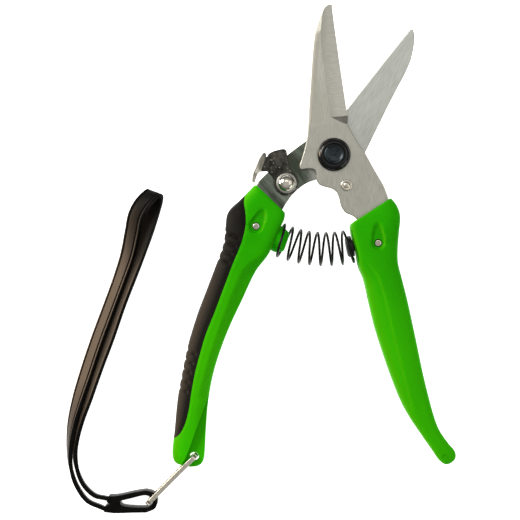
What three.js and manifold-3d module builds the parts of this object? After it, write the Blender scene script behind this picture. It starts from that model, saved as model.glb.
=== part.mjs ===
// Bypass pruner with a spring, a thumb latch and a wrist strap, lying on its back in its open pose.
// Millimetres, +Z up, the surface it lies on at z = 0, the main pivot's axis along Z through the origin.
import * as THREE from 'three';
import * as BufferGeometryUtils from 'three/addons/utils/BufferGeometryUtils.js';
import Module from 'manifold-3d';

const wasm = await Module();
wasm.setup();

// ---------- driving dimensions ----------
const GAP = 0.3;
const MID_Z = 8;
const BLADE = 2.5;
const EDGE_LAND = 0.35;
const THROUGH = { z0: -1, z1: 20 };
const REAR_BLADE = { z0: MID_Z - GAP / 2 - BLADE, z1: MID_Z - GAP / 2 };
const FRONT_BLADE = { z0: MID_Z + GAP / 2, z1: MID_Z + GAP / 2 + BLADE };

const PIVOT = {
  shank: 2.7,
  bush: 4.2,
  collar: 7.3,
  recess: 4.7,
  head: 4.35,
  rearHole: 3.0,
  nutAcrossFlats: 10,
  washer: 6.2,
};
const STOP = { x: 5.5, y: -13.4, head: 2.5, shank: 1.6 };
const LATCH = { x: -20.8, y: -12.5, eye: 5.5, shank: 1.7, dome: 3.6, washer: 4.5, plate: 2.0 };
const LEFT_SCREW = { x: -34.1, y: -31.5 };
const RIGHT_SCREW = { x: 19.1, y: -38.8 };
const HANDLE_SCREW = { head: 1.5, shank: 1.15, nut: 2.1, nutDepth: 1.6, frontZ: 14.4, rearZ: 0.9 };
const LANYARD = { x: -61.2, y: -132.4, hole: 2.0 };
// The spring's axis is an arc about SPRING_CENTRE; places along it are in degrees.
const SPRING = {
  radius: 7.15,
  wire: 1.1,
  turns: 7.75,
  bend: 51.5,
  left: -114.1,
  right: -77.0,
  startTurn: 225,
};
const SPRING_CENTRE = { x: -3.7, y: 10.1 };
const PEG = { root: -119.5, shoulder: -112.6, tip: -109.2, radius: 5.8, tipRadius: 4.2 };
const SEAT = { start: -79.7, lip: -79.0, face: -76.5, socket: -72.4, flange: 4.65, stem: 2.6 };
const BAND = { width: 7.5, thickness: 1.8 };
const LINK = { wire: 1.7, width: 2.0, z0: 0.2, z1: 13.0, length: 29.6, turn: -135 };

// ---------- solids and booleans ----------
function bare(geometry) {
  const plain = geometry.index ? geometry.toNonIndexed() : geometry.clone();
  plain.deleteAttribute('normal');
  plain.deleteAttribute('uv');
  return BufferGeometryUtils.mergeVertices(plain, 1e-4);
}

function solid(geometry) {
  const merged = bare(geometry);
  return new wasm.Manifold(new wasm.Mesh({
    numProp: 3,
    vertProperties: new Float32Array(merged.attributes.position.array),
    triVerts: new Uint32Array(merged.index.array),
  }));
}

function toGeometry(manifold) {
  const mesh = manifold.getMesh();
  const geometry = new THREE.BufferGeometry();
  geometry.setAttribute('position', new THREE.BufferAttribute(new Float32Array(mesh.vertProperties), 3));
  geometry.setIndex(new THREE.BufferAttribute(new Uint32Array(mesh.triVerts), 1));
  return geometry;
}

function cut(from, ...tools) {
  return tools.reduce((left, tool) => left.subtract(tool), from);
}

function prism(shape, z0, z1, segments = 4) {
  const geometry = new THREE.ExtrudeGeometry(shape, {
    depth: z1 - z0, bevelEnabled: false, curveSegments: segments,
  });
  geometry.translate(0, 0, z0);
  return solid(geometry);
}

function rod(x, y, radius, z0, z1, sides = 20) {
  const geometry = new THREE.CylinderGeometry(radius, radius, z1 - z0, sides);
  geometry.rotateX(Math.PI / 2);
  geometry.translate(x, y, (z0 + z1) / 2);
  return solid(geometry);
}

function bore(at, radius, sides = 16) {
  return rod(at.x, at.y, radius, THROUGH.z0, THROUGH.z1, sides);
}

// A turned piece on a vertical axis: profile points are [radius, z], round the section once.
function turned(x, y, profile, sides = 28) {
  const points = profile.map(([r, z]) => new THREE.Vector2(r, z));
  const geometry = new THREE.LatheGeometry(points, sides);
  geometry.rotateX(Math.PI / 2);
  geometry.translate(x, y, 0);
  return geometry;
}

function ringProfile(inner, outer, z0, z1) {
  return [[inner, z0], [outer, z0], [outer, z1], [inner, z1], [inner, z0]];
}

// A closed skin over rings of equally many points, flat at both ends.
function loft(rings) {
  const count = rings[0].length;
  const positions = rings.flat().flatMap((p) => [p.x, p.y, p.z]);
  const index = [];
  for (let row = 0; row < rings.length - 1; row += 1) {
    for (let k = 0; k < count; k += 1) {
      const a = row * count + k;
      const b = row * count + ((k + 1) % count);
      index.push(a, b, b + count, a, b + count, a + count);
    }
  }
  const last = (rings.length - 1) * count;
  for (let k = 1; k < count - 1; k += 1) {
    index.push(0, k + 1, k);
    index.push(last, last + k, last + k + 1);
  }
  const geometry = new THREE.BufferGeometry();
  geometry.setAttribute('position', new THREE.Float32BufferAttribute(positions, 3));
  geometry.setIndex(index);
  const made = solid(geometry);
  return made.volume() > 0 ? made : solid(flipped(geometry));
}

function flipped(geometry) {
  const index = Array.from(geometry.index.array);
  for (let k = 0; k < index.length; k += 3) {
    [index[k + 1], index[k + 2]] = [index[k + 2], index[k + 1]];
  }
  const other = geometry.clone();
  other.setIndex(index);
  return other;
}

function corners(...points) {
  return points.map(([x, y, z]) => new THREE.Vector3(x, y, z));
}

function outline(...points) {
  return new THREE.Shape(points.map(([x, y]) => new THREE.Vector2(x, y)));
}

function spline(shape, ...points) {
  shape.splineThru(points.map(([x, y]) => new THREE.Vector2(x, y)));
}

// The same closed outline pushed outwards by a distance.
function grown(points, distance) {
  const area = THREE.ShapeUtils.area(points.map(([x, y]) => new THREE.Vector2(x, y)));
  const side = area > 0 ? distance : -distance;
  return points.map(([x, y], k) => {
    const [px, py] = points[(k + points.length - 1) % points.length];
    const [nx, ny] = points[(k + 1) % points.length];
    const before = new THREE.Vector2(y - py, px - x).normalize();
    const after = new THREE.Vector2(ny - y, x - nx).normalize();
    const out = before.clone().add(after);
    out.multiplyScalar(side / (1 + before.dot(after)));
    return [x + out.x, y + out.y];
  });
}

// ---------- blades ----------
// Both tangs run inside their handles; the same outlines, grown by the gap, cut the handles' slots.
const LEFT_TANG = [
  [-31.0, -9.5], [-35.6, -16.0], [-39.0, -25.0], [-41.0, -34.5], [-39.6, -41.0],
  [-34.6, -42.5], [-30.0, -37.0], [-26.3, -29.5], [-22.6, -24.1], [-19.5, -20.0],
];
const RIGHT_TANG = [
  [8.0, -24.0], [11.2, -29.5], [14.0, -36.0], [16.2, -46.0], [17.8, -50.5], [22.6, -49.0],
  [24.6, -40.0], [25.2, -30.0], [24.2, -20.2], [20.5, -15.5],
];

function frontBladeOutline() {
  const shape = new THREE.Shape();
  shape.moveTo(-0.8, 66.2);
  shape.quadraticCurveTo(-2.9, 66.6, -4.5, 63.8);
  spline(shape, [-6.8, 58.1], [-8.4, 52.0], [-9.4, 42.0], [-10.2, 29.0], [-11.2, 15.0]);
  spline(shape, [-11.9, 7.0], [-13.1, 1.5], [-15.0, -4.6]);
  shape.quadraticCurveTo(-15.5, -6.8, -13.6, -6.4);
  spline(shape, [-10.9, -6.0], [-8.7, -6.6], [-7.7, -8.6]);
  spline(shape, [-7.5, -11.2], [-6.2, -13.1], [-3.8, -14.1], [-0.7, -14.9], [1.4, -16.5]);
  spline(shape, [2.4, -19.3], [3.2, -22.6], [5.2, -25.4], [8.6, -27.0], [11.2, -29.5]);
  RIGHT_TANG.slice(2, 9).forEach(([x, y]) => shape.lineTo(x, y));
  spline(shape, [21.9, -13.9], [17.6, -6.4], [13.8, 0.4], [10.6, 5.0], [7.6, 10.2], [5.9, 13.2]);
  spline(shape, [6.2, 16.4], [5.5, 20.5], [3.0, 37.4], [1.3, 49.5], [0.0, 59.0], [-0.8, 66.2]);
  return shape;
}

// Hollow grind on the front face, from the flat of the blade down to the cutting edge.
function frontGrind() {
  const edgeZ = FRONT_BLADE.z0 + EDGE_LAND;
  const flat = FRONT_BLADE.z1;
  const clear = flat + 2;
  return loft([
    corners([-6.4, 66.0, flat], [0.6, 70.0, edgeZ], [0.6, 70.0, clear]),
    corners([-1.2, 16.2, flat], [6.9, 17.3, edgeZ], [6.7, 13.0, clear]),
  ]);
}

function frontBlade() {
  const body = prism(frontBladeOutline(), FRONT_BLADE.z0, FRONT_BLADE.z1, 3);
  return toGeometry(cut(
    body,
    frontGrind(),
    bore({ x: 0, y: 0 }, PIVOT.bush + GAP, 28),
    bore(STOP, STOP.shank + GAP),
    bore(RIGHT_SCREW, HANDLE_SCREW.shank + GAP),
  ));
}

function rearBladeOutline() {
  const shape = new THREE.Shape();
  shape.moveTo(34.0, 55.6);
  shape.quadraticCurveTo(35.2, 55.4, 35.6, 53.4);
  spline(shape, [35.6, 50.2], [34.9, 45.5], [33.6, 40.7], [30.8, 34.6], [26.9, 27.3], [22.8, 19.2]);
  shape.lineTo(13.7, 0.6);
  spline(shape, [14.6, -3.6], [13.0, -8.6], [9.0, -12.4]);
  shape.lineTo(6.9, -9.6);
  shape.absarc(0, 0, 11.8, -0.947, -2.1, true);
  spline(shape, [-8.0, -10.9], [-11.6, -12.2], [-15.2, -14.6], [-18.3, -17.6]);
  spline(shape, [-20.8, -21.0], [-22.6, -24.1]);
  LEFT_TANG.slice(1, 8).reverse().forEach(([x, y]) => shape.lineTo(x, y));
  shape.lineTo(-33.2, -11.8);
  spline(shape, [-29.7, -8.4], [-20.1, 0.2], [-12.1, 6.2]);
  spline(shape, [-8.0, 9.0], [-2.0, 11.9], [3.2, 15.6], [5.9, 20.2]);
  shape.lineTo(33.5, 55.0);
  return shape;
}

// Bevel on the rear face of the rear blade, along its straight cutting edge.
function rearGrind() {
  const edgeZ = REAR_BLADE.z1 - EDGE_LAND;
  const flat = REAR_BLADE.z0;
  const clear = flat - 2;
  return loft([
    corners([11.0, 17.8, flat], [5.3, 20.8, edgeZ], [4.0, 20.0, clear]),
    corners([41.0, 56.2, flat], [37.2, 61.4, edgeZ], [35.0, 62.0, clear]),
  ]);
}

function rearBlade() {
  const body = prism(rearBladeOutline(), REAR_BLADE.z0, REAR_BLADE.z1, 3);
  return toGeometry(cut(
    body,
    rearGrind(),
    bore({ x: 0, y: 0 }, PIVOT.rearHole, 28),
    bore(LATCH, LATCH.shank + GAP),
    bore(LEFT_SCREW, HANDLE_SCREW.shank + GAP),
  ));
}

// ---------- main pivot ----------
const COLLAR_Z = FRONT_BLADE.z1 + GAP;
const WASHER_Z = { z0: REAR_BLADE.z0 - GAP - 0.75, z1: REAR_BLADE.z0 - GAP };

function pivotBolt() {
  const seat = COLLAR_Z + 1.2 + GAP;
  const { shank, head } = PIVOT;
  return turned(0, 0, [
    [0, 0], [shank - 0.4, 0], [shank, 0.4], [shank, seat], [head, seat], [head, seat + 0.8],
    [head - 0.3, seat + 1.1], [0, seat + 1.1],
  ]);
}

function pivotCollar() {
  const floor = COLLAR_Z + 1.2;
  const { shank, recess, collar } = PIVOT;
  return turned(0, 0, [
    [shank + GAP, COLLAR_Z], [collar - 0.3, COLLAR_Z], [collar, COLLAR_Z + 0.9],
    [collar - 0.6, COLLAR_Z + 2.2],
    [collar - 1.5, COLLAR_Z + 2.9], [recess + 0.5, COLLAR_Z + 2.8], [recess, COLLAR_Z + 2.3], [recess, floor],
    [shank + GAP, floor], [shank + GAP, COLLAR_Z],
  ], 36);
}

function pivotBush() {
  return turned(0, 0, ringProfile(PIVOT.shank + GAP, PIVOT.bush, FRONT_BLADE.z0, FRONT_BLADE.z1));
}

function pivotWasher() {
  return turned(0, 0, ringProfile(PIVOT.shank + GAP, PIVOT.washer, WASHER_Z.z0, WASHER_Z.z1), 32);
}

function pivotNut() {
  const top = WASHER_Z.z0 - GAP;
  const shape = new THREE.Shape();
  const corner = PIVOT.nutAcrossFlats / Math.sqrt(3);
  for (let k = 0; k < 6; k += 1) {
    const angle = (k * Math.PI) / 3;
    shape[k ? 'lineTo' : 'moveTo'](corner * Math.cos(angle), corner * Math.sin(angle));
  }
  return toGeometry(cut(prism(shape, 0.5, top), bore({ x: 0, y: 0 }, PIVOT.shank + GAP, 28)));
}

// Head on the front face; the long shank is the stop pin that the rear blade's heel opens against.
function stopRivet() {
  const z = FRONT_BLADE.z1 + GAP;
  const { head, shank } = STOP;
  return turned(STOP.x, STOP.y, [
    [0, REAR_BLADE.z0], [shank, REAR_BLADE.z0], [shank, z], [head, z], [head, z + 0.35],
    [head - 0.4, z + 0.6],
    [1.35, z + 0.6], [1.1, z + 0.25], [0, z + 0.25],
  ], 24);
}

// ---------- thumb latch ----------
const LATCH_Z = { z0: REAR_BLADE.z1 + GAP, z1: REAR_BLADE.z1 + GAP + LATCH.plate };

function latchOutline() {
  const shape = new THREE.Shape();
  shape.moveTo(-29.4, -7.2);
  shape.lineTo(-29.5, -1.4);
  spline(shape, [-28.6, 0.4], [-26.4, 1.6], [-23.4, 2.4]);
  shape.quadraticCurveTo(-21.0, 3.0, -20.6, 1.2);
  spline(shape, [-20.3, -1.6], [-19.6, -4.6], [-18.0, -7.7]);
  shape.absarc(LATCH.x, LATCH.y, LATCH.eye, 1.04, -2.95, true);
  spline(shape, [-26.6, -10.4], [-27.8, -8.8], [-29.4, -7.2]);
  return shape;
}

// The thumb tab is bent up out of the plate: a ribbed wing that leans away from the blades.
function latchTab() {
  const top = { x: -31.0, y: 0.9 };
  const foot = { x: -36.0, y: -11.4 };
  const length = Math.hypot(top.x - foot.x, top.y - foot.y);
  const shape = new THREE.Shape();
  shape.moveTo(0, 0);
  shape.lineTo(length, 0);
  shape.lineTo(length, 4.6);
  spline(shape, [length * 0.72, 5.6], [length * 0.3, 5.0], [0, 2.0]);
  const tab = new THREE.ExtrudeGeometry(shape, { depth: 1.3, bevelEnabled: false, curveSegments: 3 });
  tab.translate(0, 0, -0.65);
  tab.rotateX(Math.PI / 2 + 0.35);
  tab.rotateZ(Math.atan2(top.y - foot.y, top.x - foot.x));
  tab.translate(foot.x, foot.y, LATCH_Z.z0 + 0.5);
  return solid(tab);
}

function latchWeb() {
  const web = outline([-28.9, -1.7], [-28.9, -7.4], [-33.6, -7.4], [-31.4, -1.7]);
  return prism(web, LATCH_Z.z0, LATCH_Z.z0 + 1.7);
}

function latchPlate() {
  const plate = prism(latchOutline(), LATCH_Z.z0, LATCH_Z.z1, 4);
  const body = plate.add(latchWeb()).add(latchTab());
  return toGeometry(cut(body, bore(LATCH, LATCH.shank + GAP, 20)));
}

function latchWasher() {
  const z = LATCH_Z.z1 + GAP;
  return turned(LATCH.x, LATCH.y, ringProfile(LATCH.shank + GAP, LATCH.washer, z, z + 0.5), 24);
}

function latchRivet() {
  const foot = LATCH_Z.z1 + 2 * GAP + 0.5;
  const { shank, dome } = LATCH;
  const rear = REAR_BLADE.z0 - GAP;
  const tail = 3.0;
  const profile = [[0, rear - 0.7], [tail - 0.3, rear - 0.7], [tail, rear - 0.4], [tail, rear],
  [shank, rear]];
  profile.push([shank, foot], [dome, foot]);
  const domeSteps = 6;
  const domeHeight = 2.3;
  for (let k = 0; k < domeSteps; k += 1) {
    const angle = (k / domeSteps) * (Math.PI / 2);
    profile.push([dome * Math.cos(angle), foot + GAP + domeHeight * Math.sin(angle)]);
  }
  profile.push([0, foot + GAP + domeHeight]);
  return turned(LATCH.x, LATCH.y, profile, 28);
}

// ---------- handles ----------
// Each station crosses a handle: [inner x, inner y, outer x, outer y, half thickness].
const LEFT_HANDLE = [
  [-21.4, -25.6, -34.5, -13.0, 6.2], [-21.8, -28.4, -40.6, -19.3, 6.9], [-24.0, -33.0, -46.4, -25.2, 7.5],
  [-25.6, -36.9, -47.6, -31.6, 8.0], [-28.9, -44.0, -48.3, -38.2, 8.0], [-34.2, -51.0, -50.2, -44.2, 8.0],
  [-40.4, -64.0, -55.3, -57.8, 8.0], [-45.5, -74.9, -60.0, -70.2, 8.0], [-50.1, -86.7, -64.1, -83.8, 8.0],
  [-53.3, -97.6, -66.6, -95.6, 8.0], [-55.2, -108.4, -68.6, -107.2, 7.5], [-56.2, -121.0, -69.9, -120.5, 6.3],
  [-56.7, -130.6, -70.9, -130.2, 5.2], [-57.4, -134.6, -70.4, -134.0, 4.4],
  [-59.2, -136.5, -68.7, -135.8, 3.4],
  [-61.6, -137.2, -66.0, -136.6, 2.2],
];
const RIGHT_HANDLE = [
  [10.2, -28.5, 25.1, -18.9, 6.2], [7.5, -30.6, 27.9, -22.8, 6.9], [7.4, -33.5, 29.1, -27.4, 7.5],
  [8.4, -37.8, 28.6, -33.4, 8.0], [9.7, -43.2, 28.0, -40.8, 8.0], [10.9, -49.4, 28.1, -47.4, 8.0],
  [13.0, -54.6, 29.6, -53.6, 8.0], [15.3, -64.9, 31.9, -62.6, 8.0], [18.0, -75.9, 34.3, -73.4, 8.0],
  [22.0, -88.4, 36.7, -84.8, 8.0], [25.9, -99.4, 39.0, -95.8, 7.7], [29.8, -108.9, 41.3, -105.2, 7.1],
  [33.8, -116.1, 43.5, -113.4, 6.4], [38.6, -123.2, 46.1, -120.4, 5.6], [43.2, -129.8, 50.2, -126.5, 4.8],
  [46.3, -134.2, 53.2, -130.2, 3.9], [48.8, -136.0, 53.5, -133.3, 2.8], [50.4, -136.2, 52.4, -135.0, 1.6],
];
const SECTION_SIDES = 16;
const SQUARENESS = 2.9;

function superellipse(angle) {
  const power = 2 / SQUARENESS;
  return [Math.cos(angle), Math.sin(angle)].map((a) => Math.sign(a) * Math.abs(a) ** power);
}

// The section's first corners are half a step off the axes, so it has a flat strip front and rear.
const FLAT_SHARE = superellipse(Math.PI / 2 - Math.PI / SECTION_SIDES)[1];

function handleRing(inner, outer, half, inset) {
  const centre = inner.clone().add(outer).multiplyScalar(0.5);
  const across = outer.clone().sub(inner).multiplyScalar(0.5);
  across.setLength(across.length() - inset.side);
  const ring = [];
  for (let k = 0; k < SECTION_SIDES; k += 1) {
    const [u, v] = superellipse(((k + 0.5) * 2 * Math.PI) / SECTION_SIDES);
    const p = centre.clone().addScaledVector(across, u);
    ring.push(new THREE.Vector3(p.x, p.y, MID_Z + ((half - inset.face) * v) / FLAT_SHARE));
  }
  return ring;
}

function handleBody(stations, inset = { side: 0, face: 0 }, from = 0, to = stations.length - 1) {
  const rings = stations.slice(from, to + 1).map(([ix, iy, ox, oy, half]) => (
    handleRing(new THREE.Vector2(ix, iy), new THREE.Vector2(ox, oy), half, inset)));
  return loft(rings);
}

function tangSlot(tang, blade) {
  return prism(outline(...grown(tang, GAP)), blade.z0 - GAP, blade.z1 + GAP);
}

// Teardrop recess in the front face round a handle screw, with its point up the handle.
function teardrop(screw, lean, z0) {
  const shape = new THREE.Shape();
  const radius = 3.2;
  const reach = 8.6;
  const shoulder = 0.42;
  const point = 0.5;
  shape.absarc(0, 0, radius, Math.PI - shoulder, shoulder, false);
  shape.lineTo(point, reach);
  shape.lineTo(-point, reach);
  const geometry = new THREE.ExtrudeGeometry(shape, { depth: 6, bevelEnabled: false, curveSegments: 12 });
  geometry.rotateZ(lean);
  geometry.translate(screw.x, screw.y, z0);
  return solid(geometry);
}

const HEAD_HEIGHT = 1.0;

function screwBore(screw) {
  const { head, shank, nut, nutDepth, frontZ, rearZ } = HANDLE_SCREW;
  return [
    bore(screw, shank + GAP),
    rod(screw.x, screw.y, head + GAP, frontZ - HEAD_HEIGHT - GAP, THROUGH.z1, 18),
    rod(screw.x, screw.y, nut + GAP, THROUGH.z0, rearZ + nutDepth + GAP, 18),
  ];
}

// Edge between the soft grip and the green shell, down the left handle.
const GRIP_EDGE = [
  [-38.4, -16.2], [-39.4, -20.4], [-38.7, -26.0], [-38.7, -31.4], [-40.4, -38.4], [-44.6, -48.8],
  [-48.2, -58.4],
  [-52.2, -69.0], [-55.9, -78.3], [-58.4, -86.7], [-60.6, -95.1], [-62.2, -103.5], [-63.4, -111.4],
  [-65.2, -118.0],
  [-67.6, -122.4], [-71.6, -125.2],
];
const GRIP_CORE = { side: 2.6, face: 2.4 };

function gripRegion(shift) {
  const edge = GRIP_EDGE.map(([x, y]) => [x + shift, y - (x < -67 ? shift : 0)]);
  return prism(outline(...edge, [-84, -126], [-84, -12], [-39.4 + shift, -12]), -1, 18);
}

function leftGrip() {
  const skin = handleBody(LEFT_HANDLE).intersect(gripRegion(0));
  const core = handleBody(LEFT_HANDLE, { side: GRIP_CORE.side - GAP, face: GRIP_CORE.face - GAP }, 0, 13);
  return toGeometry(cut(skin, core));
}

function springPoint(degrees, offset = 0) {
  const angle = THREE.MathUtils.degToRad(degrees);
  const radius = SPRING.bend + offset;
  return new THREE.Vector3(
    SPRING_CENTRE.x + radius * Math.cos(angle), SPRING_CENTRE.y + radius * Math.sin(angle), MID_Z);
}

// A turned boss along the spring's curve: sections are [degrees along the curve, radius].
function springBoss(sections, sides = 18) {
  const rings = sections.map(([degrees, radius]) => {
    const centre = springPoint(degrees);
    const outwards = springPoint(degrees, 1).sub(centre);
    const ring = [];
    for (let k = 0; k < sides; k += 1) {
      const angle = (k * 2 * Math.PI) / sides;
      const p = centre.clone().addScaledVector(outwards, radius * Math.cos(angle));
      ring.push(p.setZ(MID_Z + radius * Math.sin(angle)));
    }
    return ring;
  });
  return loft(rings);
}

// The lanyard tab lies to the right of this line, thinner than the handle.
const TAB_LINE = [[-57.3, -110.0], [-61.2, -123.5], [-64.7, -132.0], [-67.8, -137.8]];
const TAB_HALF = 2.3;

// The peg is a round post on the handle's inner edge that the spring's first coil grips.
function leftHandle() {
  const skin = handleBody(LEFT_HANDLE);
  const core = handleBody(LEFT_HANDLE, GRIP_CORE, 0, 13);
  const coreInside = core.intersect(gripRegion(GAP + 0.1));
  const peg = springBoss([[PEG.root, PEG.radius], [PEG.shoulder, PEG.radius], [PEG.tip, PEG.tipRadius]]);
  const shell = cut(skin, gripRegion(GAP)).add(coreInside).add(peg);
  const tab = outline(...TAB_LINE, [-67.8, -139], [-50, -139], [-50, -110]);
  return toGeometry(cut(
    shell,
    tangSlot(LEFT_TANG, REAR_BLADE),
    teardrop(LEFT_SCREW, -0.62, HANDLE_SCREW.frontZ - HEAD_HEIGHT),
    ...screwBore(LEFT_SCREW),
    prism(tab, MID_Z + TAB_HALF, THROUGH.z1),
    prism(tab, THROUGH.z0, MID_Z - TAB_HALF),
    bore(LANYARD, LANYARD.hole, 20),
  ));
}

// The black spring seat's stem plugs into a socket in the right handle.
function rightHandle() {
  return toGeometry(cut(
    handleBody(RIGHT_HANDLE),
    tangSlot(RIGHT_TANG, FRONT_BLADE),
    teardrop(RIGHT_SCREW, 0.12, HANDLE_SCREW.frontZ - HEAD_HEIGHT),
    ...screwBore(RIGHT_SCREW),
    springBoss([[SEAT.start, SEAT.stem + GAP], [SEAT.socket, SEAT.stem + GAP]]),
  ));
}

function rightSpringSeat() {
  const { start, lip, face, socket, flange, stem } = SEAT;
  return toGeometry(springBoss([
    [start, flange - 0.7], [lip, flange], [face, flange], [face + 0.01, stem], [socket - 0.6, stem],
  ]));
}

function handleScrew(screw) {
  const { head, shank, frontZ, rearZ } = HANDLE_SCREW;
  return turned(screw.x, screw.y, [
    [0, rearZ - 0.3], [shank - 0.2, rearZ - 0.3], [shank, rearZ], [shank, frontZ - HEAD_HEIGHT],
    [head, frontZ - HEAD_HEIGHT], [head, frontZ - 0.2], [head - 0.2, frontZ], [0.6, frontZ],
    [0.5, frontZ - 0.4],
    [0, frontZ - 0.4],
  ], 20);
}

function handleNut(screw) {
  const { shank, nut, nutDepth, rearZ } = HANDLE_SCREW;
  return turned(screw.x, screw.y, ringProfile(shank + GAP, nut, rearZ, rearZ + nutDepth), 6);
}

// ---------- spring ----------
class SpringCurve extends THREE.Curve {
  getPoint(t, target = new THREE.Vector3()) {
    const degrees = SPRING.left + t * (SPRING.right - SPRING.left);
    const turn = THREE.MathUtils.degToRad(SPRING.startTurn - t * SPRING.turns * 360);
    const middle = springPoint(degrees);
    const outwards = springPoint(degrees, 1).sub(middle);
    target.copy(middle).addScaledVector(outwards, SPRING.radius * Math.cos(turn));
    return target.setZ(MID_Z + SPRING.radius * Math.sin(turn));
  }
}

function spring() {
  const wire = new THREE.Shape();
  wire.absarc(0, 0, SPRING.wire / 2, 0, 2 * Math.PI, false);
  return new THREE.ExtrudeGeometry(wire, {
    steps: Math.round(SPRING.turns * 16), curveSegments: 3, bevelEnabled: false,
    extrudePath: new SpringCurve(),
  });
}

// ---------- wrist strap ----------
// The band's route, from the bridge up the right run, round the top and down the left run: [x, y, z].
// At the top the left run crosses over and folds back down onto the right run.
const STRAP_ROUTE = [
  [-100.5, -151.2, 6.05], [-105.2, -150.2, 5.5], [-110, -146, 4.9], [-113, -140, 4.4], [-114.4, -132, 4.2],
  [-114, -125, 4.0], [-112.2, -116.5, 3.9], [-109.5, -108, 3.7], [-105.3, -95, 3.4], [-99.7, -80, 3.3],
  [-94.9, -66, 3.3], [-90.3, -54, 3.3], [-86, -42, 3.3], [-82.2, -31, 3.3], [-79.9, -23.6, 3.6],
  [-78.7, -19.2, 4.2], [-78.5, -17.2, 5.8], [-79.3, -16.8, 7.4], [-81.6, -18.6, 8.1], [-84.9, -22.4, 7.6],
  [-87.3, -27, 6.4], [-88.8, -34, 4.9], [-91, -44, 3.7], [-95, -56, 3.3], [-99.6, -68.5, 3.3],
  [-104.6, -82, 3.3], [-109.6, -97, 3.4], [-113.3, -109, 3.7], [-115.7, -119, 3.9], [-116.7, -130, 4.2],
  [-116, -138.5, 4.4], [-113.4, -146, 4.9], [-108.5, -152.5, 5.5], [-102.2, -155.3, 6.05],
];
// The band stands nearly on edge at the bridge and leans over further up: towards the inside of the curve
// as far as turnY, and towards one side, x and y, above it. It leans over most round the fold at the top.
const LEAN = {
  x: 0.94, y: -0.34, least: 7, full: 48, top: 62,
  startY: -146, endY: -92, topStartY: -60, topEndY: -32, turnY: -70,
};
const STRAP_STEPS = 78;

function leanSide(centre, along) {
  if (centre.y > LEAN.turnY) return new THREE.Vector3(LEAN.x, LEAN.y, 0);
  const way = along.y < 0 ? 1 : -1;
  return new THREE.Vector3(-along.y, along.x, 0).normalize().multiplyScalar(way);
}

function strapRing(centre, along) {
  const share = THREE.MathUtils.smoothstep(centre.y, LEAN.startY, LEAN.endY);
  const topShare = THREE.MathUtils.smoothstep(centre.y, LEAN.topStartY, LEAN.topEndY);
  const degrees = LEAN.least + (LEAN.full - LEAN.least) * share + (LEAN.top - LEAN.full) * topShare;
  const lean = THREE.MathUtils.degToRad(degrees);
  const up = leanSide(centre, along).multiplyScalar(Math.sin(lean)).setZ(Math.cos(lean));
  up.addScaledVector(along, -up.dot(along)).normalize();
  const out = along.clone().cross(up);
  const tall = BAND.width / 2;
  const side = BAND.thickness / 2;
  const corner = 0.5;
  const section = [
    [tall - corner, -side], [tall, corner - side], [tall, side - corner], [tall - corner, side],
    [corner - tall, side], [-tall, side - corner], [-tall, corner - side], [corner - tall, -side],
  ];
  return section.map(([a, b]) => centre.clone().addScaledVector(up, a).addScaledVector(out, b));
}

function wristStrap() {
  const route = STRAP_ROUTE.map(([x, y, z]) => new THREE.Vector3(x, y, z));
  const path = new THREE.CatmullRomCurve3(route, false, 'centripetal');
  const rings = [];
  for (let k = 0; k <= STRAP_STEPS; k += 1) {
    const t = k / STRAP_STEPS;
    rings.push(strapRing(path.getPointAt(t), path.getTangentAt(t)));
  }
  return toGeometry(loft(rings));
}

// Bridge that joins the two runs, with the open eye that the wire link goes round.
const EYE_Z = { z0: 2.3, z1: 2.3 + BAND.width };

function strapEye() {
  const shape = new THREE.Shape();
  shape.moveTo(-99.0, -149.9);
  spline(shape, [-94.9, -149.7], [-87.2, -148.1], [-82.6, -147.4]);
  spline(shape, [-79.2, -148.4], [-77.5, -151.4], [-78.4, -155.2], [-82.4, -157.1]);
  spline(shape, [-88.9, -157.2], [-96.0, -157.4], [-101.0, -156.9]);
  // The slit between the band's two runs reaches a little way into the bridge.
  shape.lineTo(-100.4, -154.2);
  shape.lineTo(-98.2, -153.5);
  shape.lineTo(-99.8, -152.4);
  const eye = new THREE.Path();
  eye.moveTo(-93.9, -152.0);
  spline(eye, [-92.4, -154.3], [-83.0, -154.9], [-80.0, -153.6], [-79.9, -151.2], [-82.6, -149.5],
  [-88.0, -150.6]);
  shape.holes.push(eye);
  return toGeometry(prism(shape, EYE_Z.z0, EYE_Z.z1, 3));
}

// ---------- wire link ----------
// A long loop of flat wire on edge: one end goes through the handle's hole, the other round the eye.
const LINK_CORNER = 3.0;
const LINK_NEAR = -1.6;

function linkOutline(inset) {
  const { z0, z1, length } = LINK;
  const end = LINK_CORNER - inset;
  const low = z0 + inset;
  const high = z1 - inset;
  const near = LINK_NEAR + inset;
  const far = length - inset;
  const shape = new THREE.Shape();
  shape.moveTo(near, low + end);
  shape.lineTo(near, high - end);
  shape.quadraticCurveTo(near, high, near + end, high);
  shape.lineTo(far - end, high);
  shape.quadraticCurveTo(far, high, far, high - end);
  shape.lineTo(far, low + end);
  shape.quadraticCurveTo(far, low, far - end, low);
  shape.lineTo(near + end, low);
  shape.quadraticCurveTo(near, low, near, low + end);
  return shape;
}

function wireLink() {
  const { wire, width, turn } = LINK;
  const curveSegments = 5;
  const shape = linkOutline(0);
  shape.holes.push(new THREE.Path(linkOutline(wire).getPoints(curveSegments).reverse()));
  const geometry = new THREE.ExtrudeGeometry(shape, { depth: width, bevelEnabled: false, curveSegments });
  geometry.translate(0, 0, -width / 2);
  geometry.rotateX(Math.PI / 2);
  geometry.rotateZ(THREE.MathUtils.degToRad(turn));
  geometry.translate(LANYARD.x, LANYARD.y, 0);
  return geometry;
}

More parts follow.
